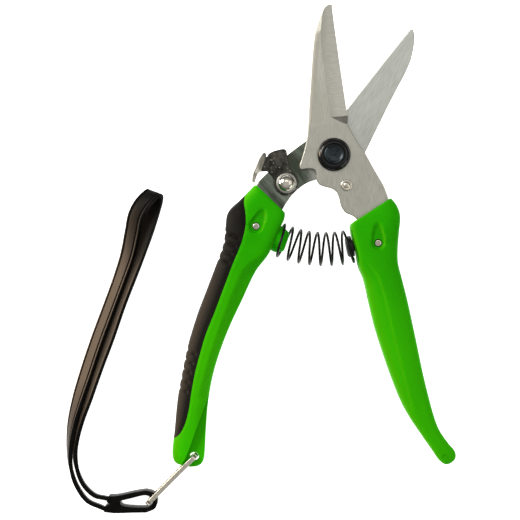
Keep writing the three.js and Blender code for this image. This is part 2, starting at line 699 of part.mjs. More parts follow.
// ---------- materials ----------
const finish = (color, roughness, metalness) => new THREE.MeshStandardMaterial({ color, roughness,
metalness });
const steel = () => finish(0xb4b0a4, 0.38, 1.0);
const darkSteel = () => finish(0x4a4d4b, 0.3, 1.0);
const chrome = () => finish(0xd4d2c8, 0.12, 1.0);
const nickel = () => finish(0xb9b09a, 0.28, 1.0);
const blackMetal = () => finish(0x1c1c1a, 0.35, 0.6);
const green = () => finish(0x2fa508, 0.4, 0.0);
const rubber = () => finish(0x33302c, 0.7, 0.0);
const blackPlastic = () => finish(0x161614, 0.45, 0.0);

// ---------- assembly ----------
const group = new THREE.Group();
group.name = 'bypass_pruner';

function add(name, geometry, material) {
  const mesh = new THREE.Mesh(geometry, material);
  mesh.name = name;
  group.add(mesh);
}

add('front_blade', frontBlade(), steel());
add('rear_blade', rearBlade(), steel());
add('pivot_bolt', pivotBolt(), darkSteel());
add('pivot_collar', pivotCollar(), blackMetal());
add('pivot_bush', pivotBush(), nickel());
add('pivot_washer', pivotWasher(), steel());
add('pivot_nut', pivotNut(), darkSteel());
add('stop_rivet', stopRivet(), nickel());
add('latch_plate', latchPlate(), darkSteel());
add('latch_washer', latchWasher(), darkSteel());
add('latch_rivet', latchRivet(), chrome());
add('left_handle', leftHandle(), green());
add('left_grip', leftGrip(), rubber());
add('left_handle_screw', handleScrew(LEFT_SCREW), nickel());
add('left_handle_nut', handleNut(LEFT_SCREW), nickel());
add('right_handle', rightHandle(), green());
add('right_handle_screw', handleScrew(RIGHT_SCREW), nickel());
add('right_handle_nut', handleNut(RIGHT_SCREW), nickel());
add('spring', spring(), blackMetal());
add('right_spring_seat', rightSpringSeat(), blackPlastic());
add('wrist_strap', wristStrap(), blackPlastic());
add('strap_eye', strapEye(), blackPlastic());
add('wire_link', wireLink(), nickel());

export default group;
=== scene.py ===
# Looks of the bypass pruner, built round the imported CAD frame.
# Shapes are given in millimetres and become metres when a mesh is made.
# +Z is up and the pruner lies on z = 0.
import math

import bmesh
import bpy
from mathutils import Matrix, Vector


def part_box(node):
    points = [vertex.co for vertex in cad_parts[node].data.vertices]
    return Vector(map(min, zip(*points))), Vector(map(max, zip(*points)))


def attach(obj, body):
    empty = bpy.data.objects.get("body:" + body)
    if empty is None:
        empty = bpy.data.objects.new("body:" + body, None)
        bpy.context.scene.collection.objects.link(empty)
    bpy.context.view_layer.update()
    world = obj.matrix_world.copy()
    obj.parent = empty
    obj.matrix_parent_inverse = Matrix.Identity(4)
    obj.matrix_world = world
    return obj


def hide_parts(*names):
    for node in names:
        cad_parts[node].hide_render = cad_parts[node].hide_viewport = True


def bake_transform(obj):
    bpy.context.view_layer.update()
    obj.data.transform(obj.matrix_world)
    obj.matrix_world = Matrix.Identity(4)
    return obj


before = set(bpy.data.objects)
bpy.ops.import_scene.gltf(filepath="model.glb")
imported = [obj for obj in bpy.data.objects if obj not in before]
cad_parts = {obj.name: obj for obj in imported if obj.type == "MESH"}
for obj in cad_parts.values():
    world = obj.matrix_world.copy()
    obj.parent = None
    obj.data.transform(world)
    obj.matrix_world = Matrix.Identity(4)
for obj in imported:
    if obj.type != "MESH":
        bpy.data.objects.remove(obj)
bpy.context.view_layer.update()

MM = 0.001
MID_Z = 8.0
TAU = 2 * math.pi
MERGE_GAP = 2e-6
BEVEL_ANGLE = math.radians(32)
# A grown outline's corners reach no further than its distance divided by this.
MITRE_LIMIT = 0.35


# ---------- camera ----------
def make_camera():
    data = bpy.data.cameras.new("camera")
    data.lens = 100
    data.sensor_width = 36
    data.clip_end = 10
    camera = bpy.data.objects.new("camera", data)
    bpy.context.scene.collection.objects.link(camera)
    camera.location = (-0.0324, -0.0462, 0.6436)
    bpy.context.scene.camera = camera


# ---------- curves and outlines ----------
def catmull(points, step, closed=False):
    """Points about `step` apart on a smooth curve through the given points."""
    pts = [Vector(p) for p in points]
    count = len(pts)
    spans = count if closed else count - 1
    out = []
    for k in range(spans):
        b = pts[k]
        c = pts[(k + 1) % count]
        a = pts[k - 1] if (closed or k > 0) else b * 2 - c
        d = pts[(k + 2) % count] if (closed or k < spans - 1) else c * 2 - b
        pieces = max(1, round((c - b).length / step))
        knots = [0.0]
        for p, q in ((a, b), (b, c), (c, d)):
            knots.append(knots[-1] + max(1e-6, (q - p).length) ** 0.5)
        for i in range(pieces):
            t = knots[1] + (knots[2] - knots[1]) * i / pieces
            out.append(_barry_goldman((a, b, c, d), knots, t))
    if not closed:
        out.append(pts[-1].copy())
    return out


def _barry_goldman(points, knots, t):
    def mix(p, q, low, high):
        return p * ((high - t) / (high - low)) + q * ((t - low) / (high - low))

    first = [mix(points[i], points[i + 1], knots[i], knots[i + 1]) for i in range(3)]
    second = [mix(first[i], first[i + 1], knots[i], knots[i + 2]) for i in range(2)]
    return mix(second[0], second[1], knots[1], knots[2])


def smooth_loop(points, step=0.6, corner=28):
    """A closed outline with its round stretches resampled finely and its corners kept."""
    pts = [Vector(p) for p in points]
    count = len(pts)
    corners = []
    for k in range(count):
        before = pts[k] - pts[k - 1]
        after = pts[(k + 1) % count] - pts[k]
        if before.length > 1e-6 and after.length > 1e-6 and math.degrees(before.angle(after)) > corner:
            corners.append(k)
    if not corners:
        return catmull(pts, step, closed=True)
    out = []
    for i, start in enumerate(corners):
        end = corners[(i + 1) % len(corners)]
        if end <= start:
            end += count
        run = [pts[k % count] for k in range(start, end + 1)]
        out += catmull(run, step)[:-1]
    return out


def fillet(profile, radius, steps=4):
    """A closed profile of 2-D points with each corner rounded."""
    pts = [Vector(p) for p in profile]
    out = []
    for k, p in enumerate(pts):
        before = pts[k - 1] - p
        after = pts[(k + 1) % len(pts)] - p
        if p.x < 1e-6 or before.length < 1e-6 or after.length < 1e-6:
            out.append(p)
            continue
        reach = min(radius, before.length * 0.45, after.length * 0.45)
        start = p + before.normalized() * reach
        end = p + after.normalized() * reach
        for i in range(steps + 1):
            t = i / steps
            out.append(start * (1 - t) ** 2 + p * 2 * t * (1 - t) + end * t * t)
    return out


def grown(points, distance):
    """A closed outline moved outwards by distance, or inwards where it is negative."""
    pts = [Vector(p) for p in points]
    following = pts[1:] + pts[:1]
    area = sum(p.x * q.y - q.x * p.y for p, q in zip(pts, following))
    way = distance if area > 0 else -distance
    out = []
    for last, here, ahead in zip(pts[-1:] + pts[:-1], pts, following):
        before = Vector(((here - last).y, -(here - last).x)).normalized()
        after = Vector(((ahead - here).y, -(ahead - here).x)).normalized()
        out.append(here + (before + after) * (way / max(MITRE_LIMIT, 1 + before.dot(after))))
    return out


def line_length(points):
    return sum((Vector(p) - Vector(q)).length for p, q in zip(points, points[1:]))


def hexagon(centre, corner):
    angles = [TAU * k / 6 for k in range(6)]
    return [(centre[0] + corner * math.cos(a), centre[1] + corner * math.sin(a)) for a in angles]


def circle(centre, first, second, radius, sides):
    """Points round a circle whose plane holds the first and second directions."""
    angles = [TAU * k / sides for k in range(sides)]
    return [centre + first * radius * math.cos(a) + second * radius * math.sin(a) for a in angles]


def quarter(steps):
    """(cos, sin) at even steps through a quarter turn, without its first point."""
    angles = [math.pi / 2 * k / steps for k in range(1, steps + 1)]
    return [(math.cos(a), math.sin(a)) for a in angles]


def rims(node, z):
    """The outlines of a CAD node's flat face at height z, longest first, in millimetres."""
    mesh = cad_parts[node].data
    keys = [tuple(round(c / MM, 3) for c in v.co) for v in mesh.vertices]
    used = {}
    for face in mesh.polygons:
        corners = [keys[i] for i in face.vertices]
        if all(abs(c[2] - z) < 0.02 for c in corners):
            for a, b in zip(corners, corners[1:] + corners[:1]):
                used[(a, b)] = True
    follow = {a: b for a, b in used if (b, a) not in used}
    loops = []
    while follow:
        start = next(iter(follow))
        loop = []
        at = start
        while at in follow:
            loop.append((at[0], at[1]))
            at = follow.pop(at)
        loops.append(loop)
    return sorted(loops, key=line_length, reverse=True)


def tube(inner, outer, z0, z1):
    """The profile of a plain ring, or of a disc where inner is 0."""
    return [(inner, z0), (outer, z0), (outer, z1), (inner, z1)]


def smoothstep(low, high, x):
    t = min(1.0, max(0.0, (x - low) / (high - low)))
    return t * t * (3 - 2 * t)


def nearest_on_line(point, line):
    """(distance, share of the line's length passed, side) from a 2-D point to a polyline.

    The side is above 0 where the point is on the line's left.
    """
    best = (math.inf, 0.0, 0.0)
    passed = 0.0
    for a, b in zip(line, line[1:]):
        along = b - a
        t = min(1.0, max(0.0, (point - a).dot(along) / along.length_squared))
        gap = (point - (a + along * t)).length
        if gap < best[0]:
            side = along.x * (point - a).y - along.y * (point - a).x
            best = (gap, passed + t * along.length, side)
        passed += along.length
    return best[0], best[1] / passed, best[2]


# ---------- meshes ----------
def mesh_object(name, vertices, faces):
    mesh = bpy.data.meshes.new(name)
    mesh.from_pydata([tuple(c * MM for c in v) for v in vertices], [], faces)
    obj = bpy.data.objects.new(name, mesh)
    bpy.context.scene.collection.objects.link(obj)
    clean(obj)
    return obj


def clean(obj):
    """Joins doubled corners and turns every face outwards."""
    bm = bmesh.new()
    bm.from_mesh(obj.data)
    bmesh.ops.remove_doubles(bm, verts=bm.verts, dist=MERGE_GAP)
    bmesh.ops.recalc_face_normals(bm, faces=bm.faces)
    bm.to_mesh(obj.data)
    bm.free()


def skin(name, rings, caps=True):
    """A closed surface over rings of equally many points, with a face at both ends."""
    count = len(rings[0])
    vertices = [p for ring in rings for p in ring]
    faces = []
    for row in range(len(rings) - 1):
        for k in range(count):
            a = row * count + k
            b = row * count + (k + 1) % count
            faces.append((a, b, b + count, a + count))
    if caps:
        last = (len(rings) - 1) * count
        faces.append(tuple(range(count)))
        faces.append(tuple(last + k for k in reversed(range(count))))
    return mesh_object(name, vertices, faces)


def slab(name, loop, z0, z1):
    return skin(name, [[(p[0], p[1], z) for p in loop] for z in (z0, z1)])


def turned(name, centre, profile, steps=64):
    """A turned piece on a vertical axis through centre: profile points are (radius, z)."""
    vertices = []
    for k in range(steps):
        cos = math.cos(TAU * k / steps)
        sin = math.sin(TAU * k / steps)
        vertices += [(centre[0] + r * cos, centre[1] + r * sin, z) for r, z in profile]
    count = len(profile)
    faces = []
    for row in range(steps):
        other = (row + 1) % steps
        for k in range(count):
            nxt = (k + 1) % count
            if profile[k][0] < 1e-6 and profile[nxt][0] < 1e-6:
                continue
            faces.append((row * count + k, row * count + nxt, other * count + nxt, other * count + k))
    return mesh_object(name, vertices, faces)


def settle(obj):
    """Applies the object's modifiers to its mesh."""
    depsgraph = bpy.context.evaluated_depsgraph_get()
    made = bpy.data.meshes.new_from_object(obj.evaluated_get(depsgraph))
    old = obj.data
    obj.modifiers.clear()
    obj.data = made
    bpy.data.meshes.remove(old)
    made.name = obj.name


def combine(obj, tools, operation="DIFFERENCE"):
    """Cuts the tools out of obj, or keeps what they share, and takes the tools away."""
    for tool in tools:
        cutter = obj.modifiers.new("cut", "BOOLEAN")
        cutter.operation = operation
        cutter.solver = "EXACT"
        cutter.object = tool
    settle(obj)
    for tool in tools:
        bpy.data.objects.remove(tool)
    return obj


def bevel(obj, width, segments=2):
    edge = obj.modifiers.new("bevel", "BEVEL")
    edge.width = width * MM
    edge.segments = segments
    edge.limit_method = "ANGLE"
    edge.angle_limit = BEVEL_ANGLE
    edge.use_clamp_overlap = True
    settle(obj)
    return obj


def place(obj, body, slot, finish, *nodes, sharp=34):
    """Smooth shading with sharp corners kept, a material, a body and the CAD nodes. The slot is not used."""
    obj.data.materials.clear()
    obj.data.materials.append(finish)
    obj.data.shade_smooth()
    obj.data.set_sharp_from_angle(angle=math.radians(sharp))
    if body:
        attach(obj, body)
    if nodes:
        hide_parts(*nodes)
    return obj


# ---------- materials ----------
def srgb(red, green, blue):
    """Display colour, 0 to 255, as the linear colour a shader takes."""
    def linear(value):
        share = value / 255
        return share / 12.92 if share <= 0.04045 else ((share + 0.055) / 1.055) ** 2.4

    return (linear(red), linear(green), linear(blue), 1.0)


class Finish:
    """One procedural material, built node by node."""

    def __init__(self, name, color, roughness, metallic=0.0, **sockets):
        self.made = bpy.data.materials.new(name)
        self.made.use_nodes = True
        self.tree = self.made.node_tree
        self.shader = self.tree.nodes["Principled BSDF"]
        self.shader.inputs["Base Color"].default_value = color
        self.shader.inputs["Roughness"].default_value = roughness
        self.shader.inputs["Metallic"].default_value = metallic
        for socket, value in sockets.items():
            self.shader.inputs[socket.replace("_", " ")].default_value = value
        self.normal = None

    def node(self, kind, inputs=None, **settings):
        made = self.tree.nodes.new(kind)
        for key, value in settings.items():
            setattr(made, key, value)
        for key, value in (inputs or {}).items():
            if isinstance(value, bpy.types.NodeSocket):
                self.tree.links.new(value, made.inputs[key])
            else:
                made.inputs[key].default_value = value
        return made

    def link(self, output, socket):
        self.tree.links.new(output, self.shader.inputs[socket])

    def noise(self, scale, drawn=(1, 1, 1), turn=0.0, detail=3.0, rough=0.5):
        """Noise on the object's own coordinates, drawn out along axes turned by turn degrees."""
        where = self.node("ShaderNodeTexCoord").outputs["Object"]
        mapped = self.node("ShaderNodeMapping", {
            "Vector": where, "Rotation": (0, 0, math.radians(turn)), "Scale": drawn}, vector_type="TEXTURE")
        made = self.node("ShaderNodeTexNoise", {
            "Vector": mapped.outputs[0], "Scale": scale, "Detail": detail, "Roughness": rough})
        return made.outputs["Fac"]

    def span(self, value, low, high, start=0.3, end=0.7):
        made = self.node("ShaderNodeMapRange", {
            "Value": value, "From Min": start, "From Max": end, "To Min": low, "To Max": high})
        return made.outputs[0]

    def part(self, output, axis, start, end):
        """0 to 1 as one axis of the piece's own position or direction goes from start to end."""
        where = self.node("ShaderNodeTexCoord").outputs[output]
        split = self.node("ShaderNodeSeparateXYZ", {"Vector": where})
        return self.span(split.outputs[axis], 0.0, 1.0, start, end)

    def sum(self, first, second, weight):
        inputs = {0: second, 1: weight, 2: first}
        return self.node("ShaderNodeMath", inputs, operation="MULTIPLY_ADD").outputs[0]

    def product(self, first, second):
        return self.node("ShaderNodeMath", {0: first, 1: second}, operation="MULTIPLY").outputs[0]

    def mix(self, share, first, second):
        """Two numbers mixed."""
        return self.node("ShaderNodeMix", {0: share, 2: first, 3: second}).outputs[0]

    def tint(self, value, low, high, start=0.3, end=0.7):
        """Two colours mixed by value, and linked as the base colour."""
        share = self.span(value, 0.0, 1.0, start, end)
        mixed = self.node("ShaderNodeMix", {0: share, 6: low, 7: high}, data_type="RGBA")
        self.link(mixed.outputs[2], "Base Color")
        return mixed.outputs[2]

    def cover(self, share, under, over):
        """The colour over laid on the colour under where share is 1."""
        return self.tint(share, under, over, 0.0, 1.0)

    def clouds(self, low, high, scale=55, detail=3, rough=0.5):
        return self.tint(self.noise(scale, detail=detail, rough=rough), low, high, 0.35, 0.65)

    def lines(self, turn, scale=3000, drawn=14.0):
        """The fine lines of ground steel."""
        return self.noise(scale, (1.0, drawn, 2.0), turn, detail=4, rough=0.6)

    def roughness(self, value, low, high):
        self.link(self.span(value, low, high), "Roughness")

    def pores(self, scale, rough, low, high, depth, strength=0.5):
        """Fine pores, in the roughness from low to high and in the relief."""
        grain = self.noise(scale, rough=rough)
        self.roughness(grain, low, high)
        self.bump(grain, depth, strength)

    def bump(self, value, depth, strength=1.0):
        """Depth is in millimetres."""
        inputs = {"Height": value, "Strength": strength, "Distance": depth * MM}
        if self.normal is not None:
            inputs["Normal"] = self.normal
        made = self.node("ShaderNodeBump", inputs)
        self.normal = made.outputs[0]
        self.link(self.normal, "Normal")


def brushed_steel(name, low, high, turn, roughness=0.36, across=None, back=None):
    """Ground steel: fine lines with faint clouds.

    across turns the lines of faces that tilt to the right, and back is a darker tone painted on faces that
    tilt left, as shade.
    """
    made = Finish(name, high, roughness, 1.0)
    lines = made.lines(turn)
    if across is not None:
        lines = made.mix(made.part("Normal", "X", 0.06, 0.14), lines, made.lines(across, 2600, 22.0))
    clouds = made.noise(110, (1.0, 2.5, 1.0), turn, detail=5, rough=0.6)
    tone = made.tint(made.sum(lines, clouds, 0.3), low, high, 0.5, 0.8)
    # Painted shade: faces that tilt left take the darker back tone.
    if back is not None:
        made.cover(made.part("Normal", "X", -0.05, -0.2), tone, back)
    made.roughness(lines, roughness - 0.05, roughness + 0.07)
    made.bump(lines, 0.008, 0.5)
    return made.made


def rear_blade_steel(name):
    """Ground steel on the blade, and a darker reflection painted on the tang, behind the pivot."""
    made = Finish(name, srgb(204, 203, 194), 0.36, 1.0)
    lines = made.lines(-30)
    clouds = made.noise(110, (1.0, 2.5, 1.0), -30, detail=5, rough=0.6)
    tone = made.sum(lines, clouds, 0.3)
    blade = made.tint(tone, srgb(172, 173, 165), srgb(192, 193, 185), 0.5, 0.8)
    # Painted reflection: the tang behind the pivot takes darker streaked steel colours, mixed in by
    # position.
    streaks = made.noise(210, (1.0, 5.0, 1.0), 42, detail=4, rough=0.6)
    tang = made.tint(streaks, srgb(72, 78, 66), srgb(140, 147, 135), 0.38, 0.68)
    behind = made.part("Object", "X", -0.007, -0.012)
    made.cover(behind, blade, tang)
    rough = made.mix(behind, made.span(lines, 0.31, 0.42), made.span(streaks, 0.2, 0.34))
    made.link(rough, "Roughness")
    made.bump(lines, 0.008, 0.5)
    return made.made


def polished_metal(name, low, high, roughness, grain=900, depth=0.01):
    made = Finish(name, high, roughness, 1.0)
    speckle = made.noise(grain, detail=4, rough=0.7)
    made.tint(speckle, low, high, 0.35, 0.65)
    made.roughness(speckle, roughness * 0.75, roughness * 1.35)
    made.bump(speckle, depth, 0.5)
    return made.made


def speckled_chrome(name, dark, middle, speck):
    """Thin chrome over rough steel: dark, with small bright specks where it stands up."""
    made = Finish(name, middle, 0.24, 1.0)
    grain = made.noise(420, detail=4, rough=0.65)
    specks = made.noise(1500, detail=2, rough=0.5)
    cloudy = made.tint(grain, dark, middle, 0.4, 0.62)
    made.tint(specks, cloudy, speck, 0.64, 0.74)
    made.roughness(grain, 0.18, 0.34)
    made.bump(specks, 0.03, 0.5)
    return made.made


def moulded_plastic(name, low, high, roughness, specular, grain=1500, depth=0.006):
    made = Finish(name, high, roughness, Specular_IOR_Level=specular)
    made.clouds(low, high)
    made.pores(grain, 0.6, roughness - 0.05, roughness + 0.07, depth)
    return made.made


def green_nylon(name, low, high, shaft, shade, tail=None):
    """Moulded green: yellower along the shaft, with a warm olive shade painted where it turns left, and
    lighter in a thin tail.
    """
    made = Finish(
        name, high, 0.42, Specular_IOR_Level=0.015, Sheen_Weight=0.12, Sheen_Roughness=0.35,
        Sheen_Tint=(0.7, 0.8, 0.05, 1.0))
    tone = made.clouds(low, high)
    tone = made.cover(made.part("Object", "Y", -0.035, -0.085), tone, shaft)
    if tail is not None:
        tone = made.cover(made.part("Object", "Y", -0.098, -0.13), tone, tail)
    # Painted shade: faces turned left take the warm olive shade colour.
    made.cover(made.part("Normal", "X", -0.12, -0.55), tone, shade)
    made.pores(1500, 0.6, 0.37, 0.49, 0.006)
    return made.made


def strap_vinyl(name, low, high, side):
    """Glossy black vinyl with a brown sheen painted where it turns to the left."""
    made = Finish(name, high, 0.34, Specular_IOR_Level=0.03)
    # Painted sheen: between the fold and the bridge, faces turned left take the brown side colour.
    turned_left = made.part("Normal", "X", -0.3, -0.6)
    below_fold = made.part("Object", "Y", -0.02, -0.055)
    above_bridge = made.part("Object", "Y", -0.136, -0.1)
    sheen = made.product(turned_left, made.product(below_fold, above_bridge))
    made.cover(sheen, made.clouds(low, high), side)
    made.pores(700, 0.6, 0.3, 0.4, 0.003)
    return made.made


def soft_rubber(name, low, high, lower_tone, side):
    """Soft grip rubber, lighter along its lower part, with a brown sheen painted there where it turns to the
    left.
    """
    made = Finish(name, high, 0.5, Specular_IOR_Level=0.04)
    # The lower part takes a lighter tone, set by position.
    lower = made.part("Object", "Y", -0.035, -0.07)
    tone = made.cover(lower, made.clouds(low, high, 90, 4, 0.6), lower_tone)
    # Painted sheen: lower faces turned left take the brown side colour.
    made.cover(made.product(lower, made.part("Normal", "X", -0.1, -0.7)), tone, side)
    made.pores(2600, 0.7, 0.46, 0.62, 0.03, 0.6)
    return made.made


FINISHES = {
    # The front blade's back colour is painted shade on its spine bevel, which tilts left.
    "front_blade": brushed_steel(
        "front_blade_steel", srgb(166, 164, 152), srgb(185, 183, 173), 4, across=96,
        back=srgb(150, 147, 136)),
    "rear_blade": rear_blade_steel("rear_blade_steel"),
    "pivot_black": moulded_plastic(
        "pivot_black_enamel", srgb(8, 8, 8), srgb(14, 13, 12), 0.16, 0.3, depth=0.002),
    "pivot_head": polished_metal("pivot_head_steel", srgb(38, 43, 45), srgb(58, 64, 67), 0.3, 500),
    "nickel": polished_metal("nickel_plate", srgb(184, 177, 161), srgb(210, 204, 190), 0.2),
    "plain": polished_metal("zinc_plate", srgb(140, 138, 130), srgb(176, 174, 166), 0.35),
    "latch": speckled_chrome("latch_steel", srgb(50, 49, 44), srgb(74, 72, 66), srgb(176, 174, 166)),
    "tab": brushed_steel("latch_tab_steel", srgb(170, 164, 150), srgb(206, 201, 189), -22, 0.3),
    "chrome": polished_metal("dome_chrome", srgb(200, 194, 180), srgb(212, 206, 194), 0.1, 300, 0.0005),
    "green_left": green_nylon(
        "green_nylon_left", srgb(31, 150, 1), srgb(39, 160, 2), srgb(56, 172, 2), srgb(60, 156, 2),
        srgb(50, 180, 2)),
    "green_right": green_nylon(
        "green_nylon_right", srgb(30, 147, 1), srgb(38, 157, 2), srgb(50, 168, 2), srgb(56, 152, 2)),
    # The peg's green is lighter than the handles' green: painted light to offset the handle's shade over the
    # peg.
    "peg": moulded_plastic("green_nylon_peg_painted_light", srgb(34, 174, 2), srgb(40, 184, 2), 0.45, 0.015),
    # The grip's last colour is painted sheen.
    "grip": soft_rubber(
        "grip_rubber", srgb(17, 17, 15), srgb(26, 25, 22), srgb(34, 32, 28), srgb(50, 44, 37)),
    "spring": moulded_plastic("spring_wire", srgb(12, 12, 11), srgb(20, 20, 18), 0.24, 0.12, 1200, 0.004),
    "seat": moulded_plastic("seat_nylon", srgb(12, 12, 10), srgb(22, 23, 19), 0.36, 0.25),
    # The strap's brown side colour is painted sheen.
    "strap": strap_vinyl("strap_vinyl", srgb(10, 10, 9), srgb(16, 15, 13), srgb(84, 73, 62)),
}


# ---------- wrist strap ----------
BAND_WIDTH = 7.5
BAND_THICK = 1.8
# The band's centre line in metres, from the bridge up the right run, round the top and down the left run.
STRAP_ROUTE = [
    (-0.1005, -0.1512, 0.00605), (-0.1052, -0.1502, 0.0055), (-0.1100, -0.1460, 0.0049),
    (-0.1130, -0.1400, 0.0044), (-0.1144, -0.1320, 0.0042), (-0.1140, -0.1250, 0.0040),
    (-0.1122, -0.1165, 0.0039), (-0.1095, -0.1080, 0.0037), (-0.1053, -0.0950, 0.0034),
    (-0.0997, -0.0800, 0.0033), (-0.0949, -0.0660, 0.0033), (-0.0903, -0.0540, 0.0033),
    (-0.0860, -0.0420, 0.0033), (-0.0822, -0.0310, 0.0033), (-0.0799, -0.0236, 0.0036),
    (-0.0787, -0.0192, 0.0042), (-0.0785, -0.0172, 0.0058), (-0.0793, -0.0168, 0.0074),
    (-0.0816, -0.0186, 0.0081), (-0.0849, -0.0224, 0.0076), (-0.0873, -0.0270, 0.0064),
    (-0.0888, -0.0340, 0.0049), (-0.0910, -0.0440, 0.0037), (-0.0950, -0.0560, 0.0033),
    (-0.0996, -0.0685, 0.0033), (-0.1046, -0.0820, 0.0033), (-0.1096, -0.0970, 0.0034),
    (-0.1133, -0.1090, 0.0037), (-0.1157, -0.1190, 0.0039), (-0.1167, -0.1300, 0.0042),
    (-0.1160, -0.1385, 0.0044), (-0.1134, -0.1460, 0.0049), (-0.1085, -0.1525, 0.0055),
    (-0.1022, -0.1553, 0.00605),
]
GROOVE_AT = 2.5
GROOVE_DEPTH = 0.4
GROOVE_TOP = 0.42
GROOVE_FLOOR = 0.22
STRAP_STEP = 1.0
STRAP_TUCK = 2.2
LEAN_SIDE = Vector((0.94, -0.34, 0.0))
LEAST_LEAN = math.radians(7)
FULL_LEAN = math.radians(48)
TOP_LEAN = math.radians(62)
LEAN_START_Y = -146.0
LEAN_END_Y = -92.0
TOP_LEAN_START_Y = -60.0
TOP_LEAN_END_Y = -32.0
LEAN_TURN_Y = -70.0


def section_fillet(points, radius, steps):
    """A swept section with its corners rounded, moved clear of the axis, where fillet keeps corners."""
    clear = 50
    return [(p.x - clear, p.y) for p in fillet([(x + clear, y) for x, y in points], radius, steps)]


def band_section():
    """The band across its width and out of its outer face, which has two sunk lines."""
    half = BAND_WIDTH / 2
    thick = BAND_THICK / 2
    floor = thick - GROOVE_DEPTH
    points = [(-half, -thick), (half, -thick), (half, thick)]
    for centre in (GROOVE_AT, -GROOVE_AT):
        points += [
            (centre + GROOVE_TOP, thick), (centre + GROOVE_FLOOR, floor),
            (centre - GROOVE_FLOOR, floor), (centre - GROOVE_TOP, thick)]
    points.append((-half, thick))
    return section_fillet(points, 0.3, 3)


def make_strap():
    """The band stands on edge at the bridge and leans over higher up; both ends run on into the eye."""
    path = catmull([Vector(p) / MM for p in STRAP_ROUTE], STRAP_STEP)
    start = path[0] + (path[0] - path[1]).normalized() * STRAP_TUCK
    end = path[-1] + (path[-1] - path[-2]).normalized() * STRAP_TUCK
    centres = [start, *path, end]
    section = band_section()
    rings = []
    for k, centre in enumerate(centres):
        ahead = centres[min(k + 1, len(centres) - 1)]
        behind = centres[max(k - 1, 0)]
        along = (ahead - behind).normalized()
        lean = LEAST_LEAN + (FULL_LEAN - LEAST_LEAN) * smoothstep(LEAN_START_Y, LEAN_END_Y, centre.y)
        lean += (TOP_LEAN - FULL_LEAN) * smoothstep(TOP_LEAN_START_Y, TOP_LEAN_END_Y, centre.y)
        side = LEAN_SIDE
        if centre.y < LEAN_TURN_Y:
            side = Vector((-along.y, along.x, 0)).normalized() * (1 if along.y < 0 else -1)
        up = Vector((0, 0, 1)) * math.cos(lean) + side * math.sin(lean)
        up = (up - along * up.dot(along)).normalized()
        out = along.cross(up)
        rings.append([centre + up * x + out * y for x, y in section])
    obj = skin("wrist_strap_band", rings)
    place(obj, "strap", "strap_black", FINISHES["strap"], "wrist_strap")
    return obj, [c * MM for c in path]


make_camera()
strap, strap_path = make_strap()


# ---------- eye of the strap ----------
def make_strap_eye():
    low, high = (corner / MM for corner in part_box("strap_eye"))
    loops = rims("strap_eye", low.z)
    outer = smooth_loop(loops[0], 0.7, 40)
    window = smooth_loop(loops[1], 0.6, 50)
    obj = slab("strap_eye_body", outer, low.z, high.z)
    combine(obj, [slab("window", window, low.z - 1, high.z + 1)])
    bevel(obj, 0.55, 3)
    place(obj, "strap", "strap_black", FINISHES["strap"], "strap_eye")
    return obj


# ---------- wire link ----------
LANYARD = Vector((-61.2, -132.4))
LINK_TURN = math.radians(-135)
LINK = {"wire": 1.7, "width": 2.0, "z0": 0.2, "z1": 13.0, "near": -1.6, "far": 29.6, "corner": 3.0}
LINK_STEP = 0.8
LINK_FILLET = 0.26


def rounded_rectangle(x0, x1, z0, z1, radius):
    steps = 8
    out = []
    for cx, cz, start in (
        (x1 - radius, z1 - radius, 0), (x0 + radius, z1 - radius, 1),
        (x0 + radius, z0 + radius, 2), (x1 - radius, z0 + radius, 3),
    ):
        for k in range(steps + 1):
            angle = (start + k / steps) * math.pi / 2
            out.append(Vector((cx + radius * math.cos(angle), cz + radius * math.sin(angle))))
    return out


def make_link():
    """One closed loop of flattened wire, round a rounded rectangle that stands on edge."""
    half = LINK["wire"] / 2
    side = LINK["width"] / 2
    middle = rounded_rectangle(
        LINK["near"] + half, LINK["far"] - half, LINK["z0"] + half, LINK["z1"] - half,
        LINK["corner"] - half)
    line = []
    for p, q in zip(middle, middle[1:] + middle[:1]):
        pieces = max(1, round((q - p).length / LINK_STEP))
        line += [p.lerp(q, i / pieces) for i in range(pieces)]
    section = section_fillet(
        [(-half, -side), (half, -side), (half, side), (-half, side)], LINK_FILLET, 4)
    forward = Vector((math.cos(LINK_TURN), math.sin(LINK_TURN), 0))
    across = Vector((-forward.y, forward.x, 0))
    base = Vector((LANYARD.x, LANYARD.y, 0))
    rings = []
    for k, p in enumerate(line):
        tangent = (line[(k + 1) % len(line)] - line[k - 1]).normalized()
        out = Vector((tangent.y, -tangent.x))
        ring = []
        for a, b in section:
            rise = Vector((0, 0, p.y + out.y * a))
            ring.append(base + forward * (p.x + out.x * a) + rise + across * b)
        rings.append(ring)
    obj = skin("wire_link_loop", rings + [rings[0]], caps=False)
    place(obj, "lanyard", "nickel", FINISHES["nickel"], "wire_link")
    return obj


strap_eye = make_strap_eye()
link = make_link()


# ---------- blades ----------
FRONT_Z = (8.15, 10.65)
REAR_Z = (5.35, 7.85)


def plate(name, node, z, z0, z1, step=0.6, top=0.3):
    """A flat piece with the CAD outline and holes at height z. Its upper rim is eased by top."""
    bottom = 0.12
    loops = rims(node, z)
    loop = smooth_loop(loops[0], step)
    levels = [
        (bottom, z0), (0, z0 + bottom), (0, z1 - top * 0.9), (top * 0.35, z1 - top * 0.3), (top, z1)]
    obj = skin(name, [[(p.x, p.y, height) for p in grown(loop, -inset)] for inset, height in levels])
    holes = [slab("hole", smooth_loop(loop, 0.35), z0 - 1, z1 + 1) for loop in loops[1:]]
    return combine(obj, holes) if holes else obj


def ground(sections, sag):
    """Rings for a hollow grind, from (point on the flat, point on the edge), sagging in between."""
    steps = 10
    rings = []
    for flat, edge in sections:
        flat = Vector(flat)
        edge = Vector(edge)
        ring = []
        for k in range(steps + 1):
            t = k / steps
            p = flat.lerp(edge, t)
            p.z += sag * 4 * t * (1 - t)
            ring.append(p)
        rings.append(ring)
    return rings


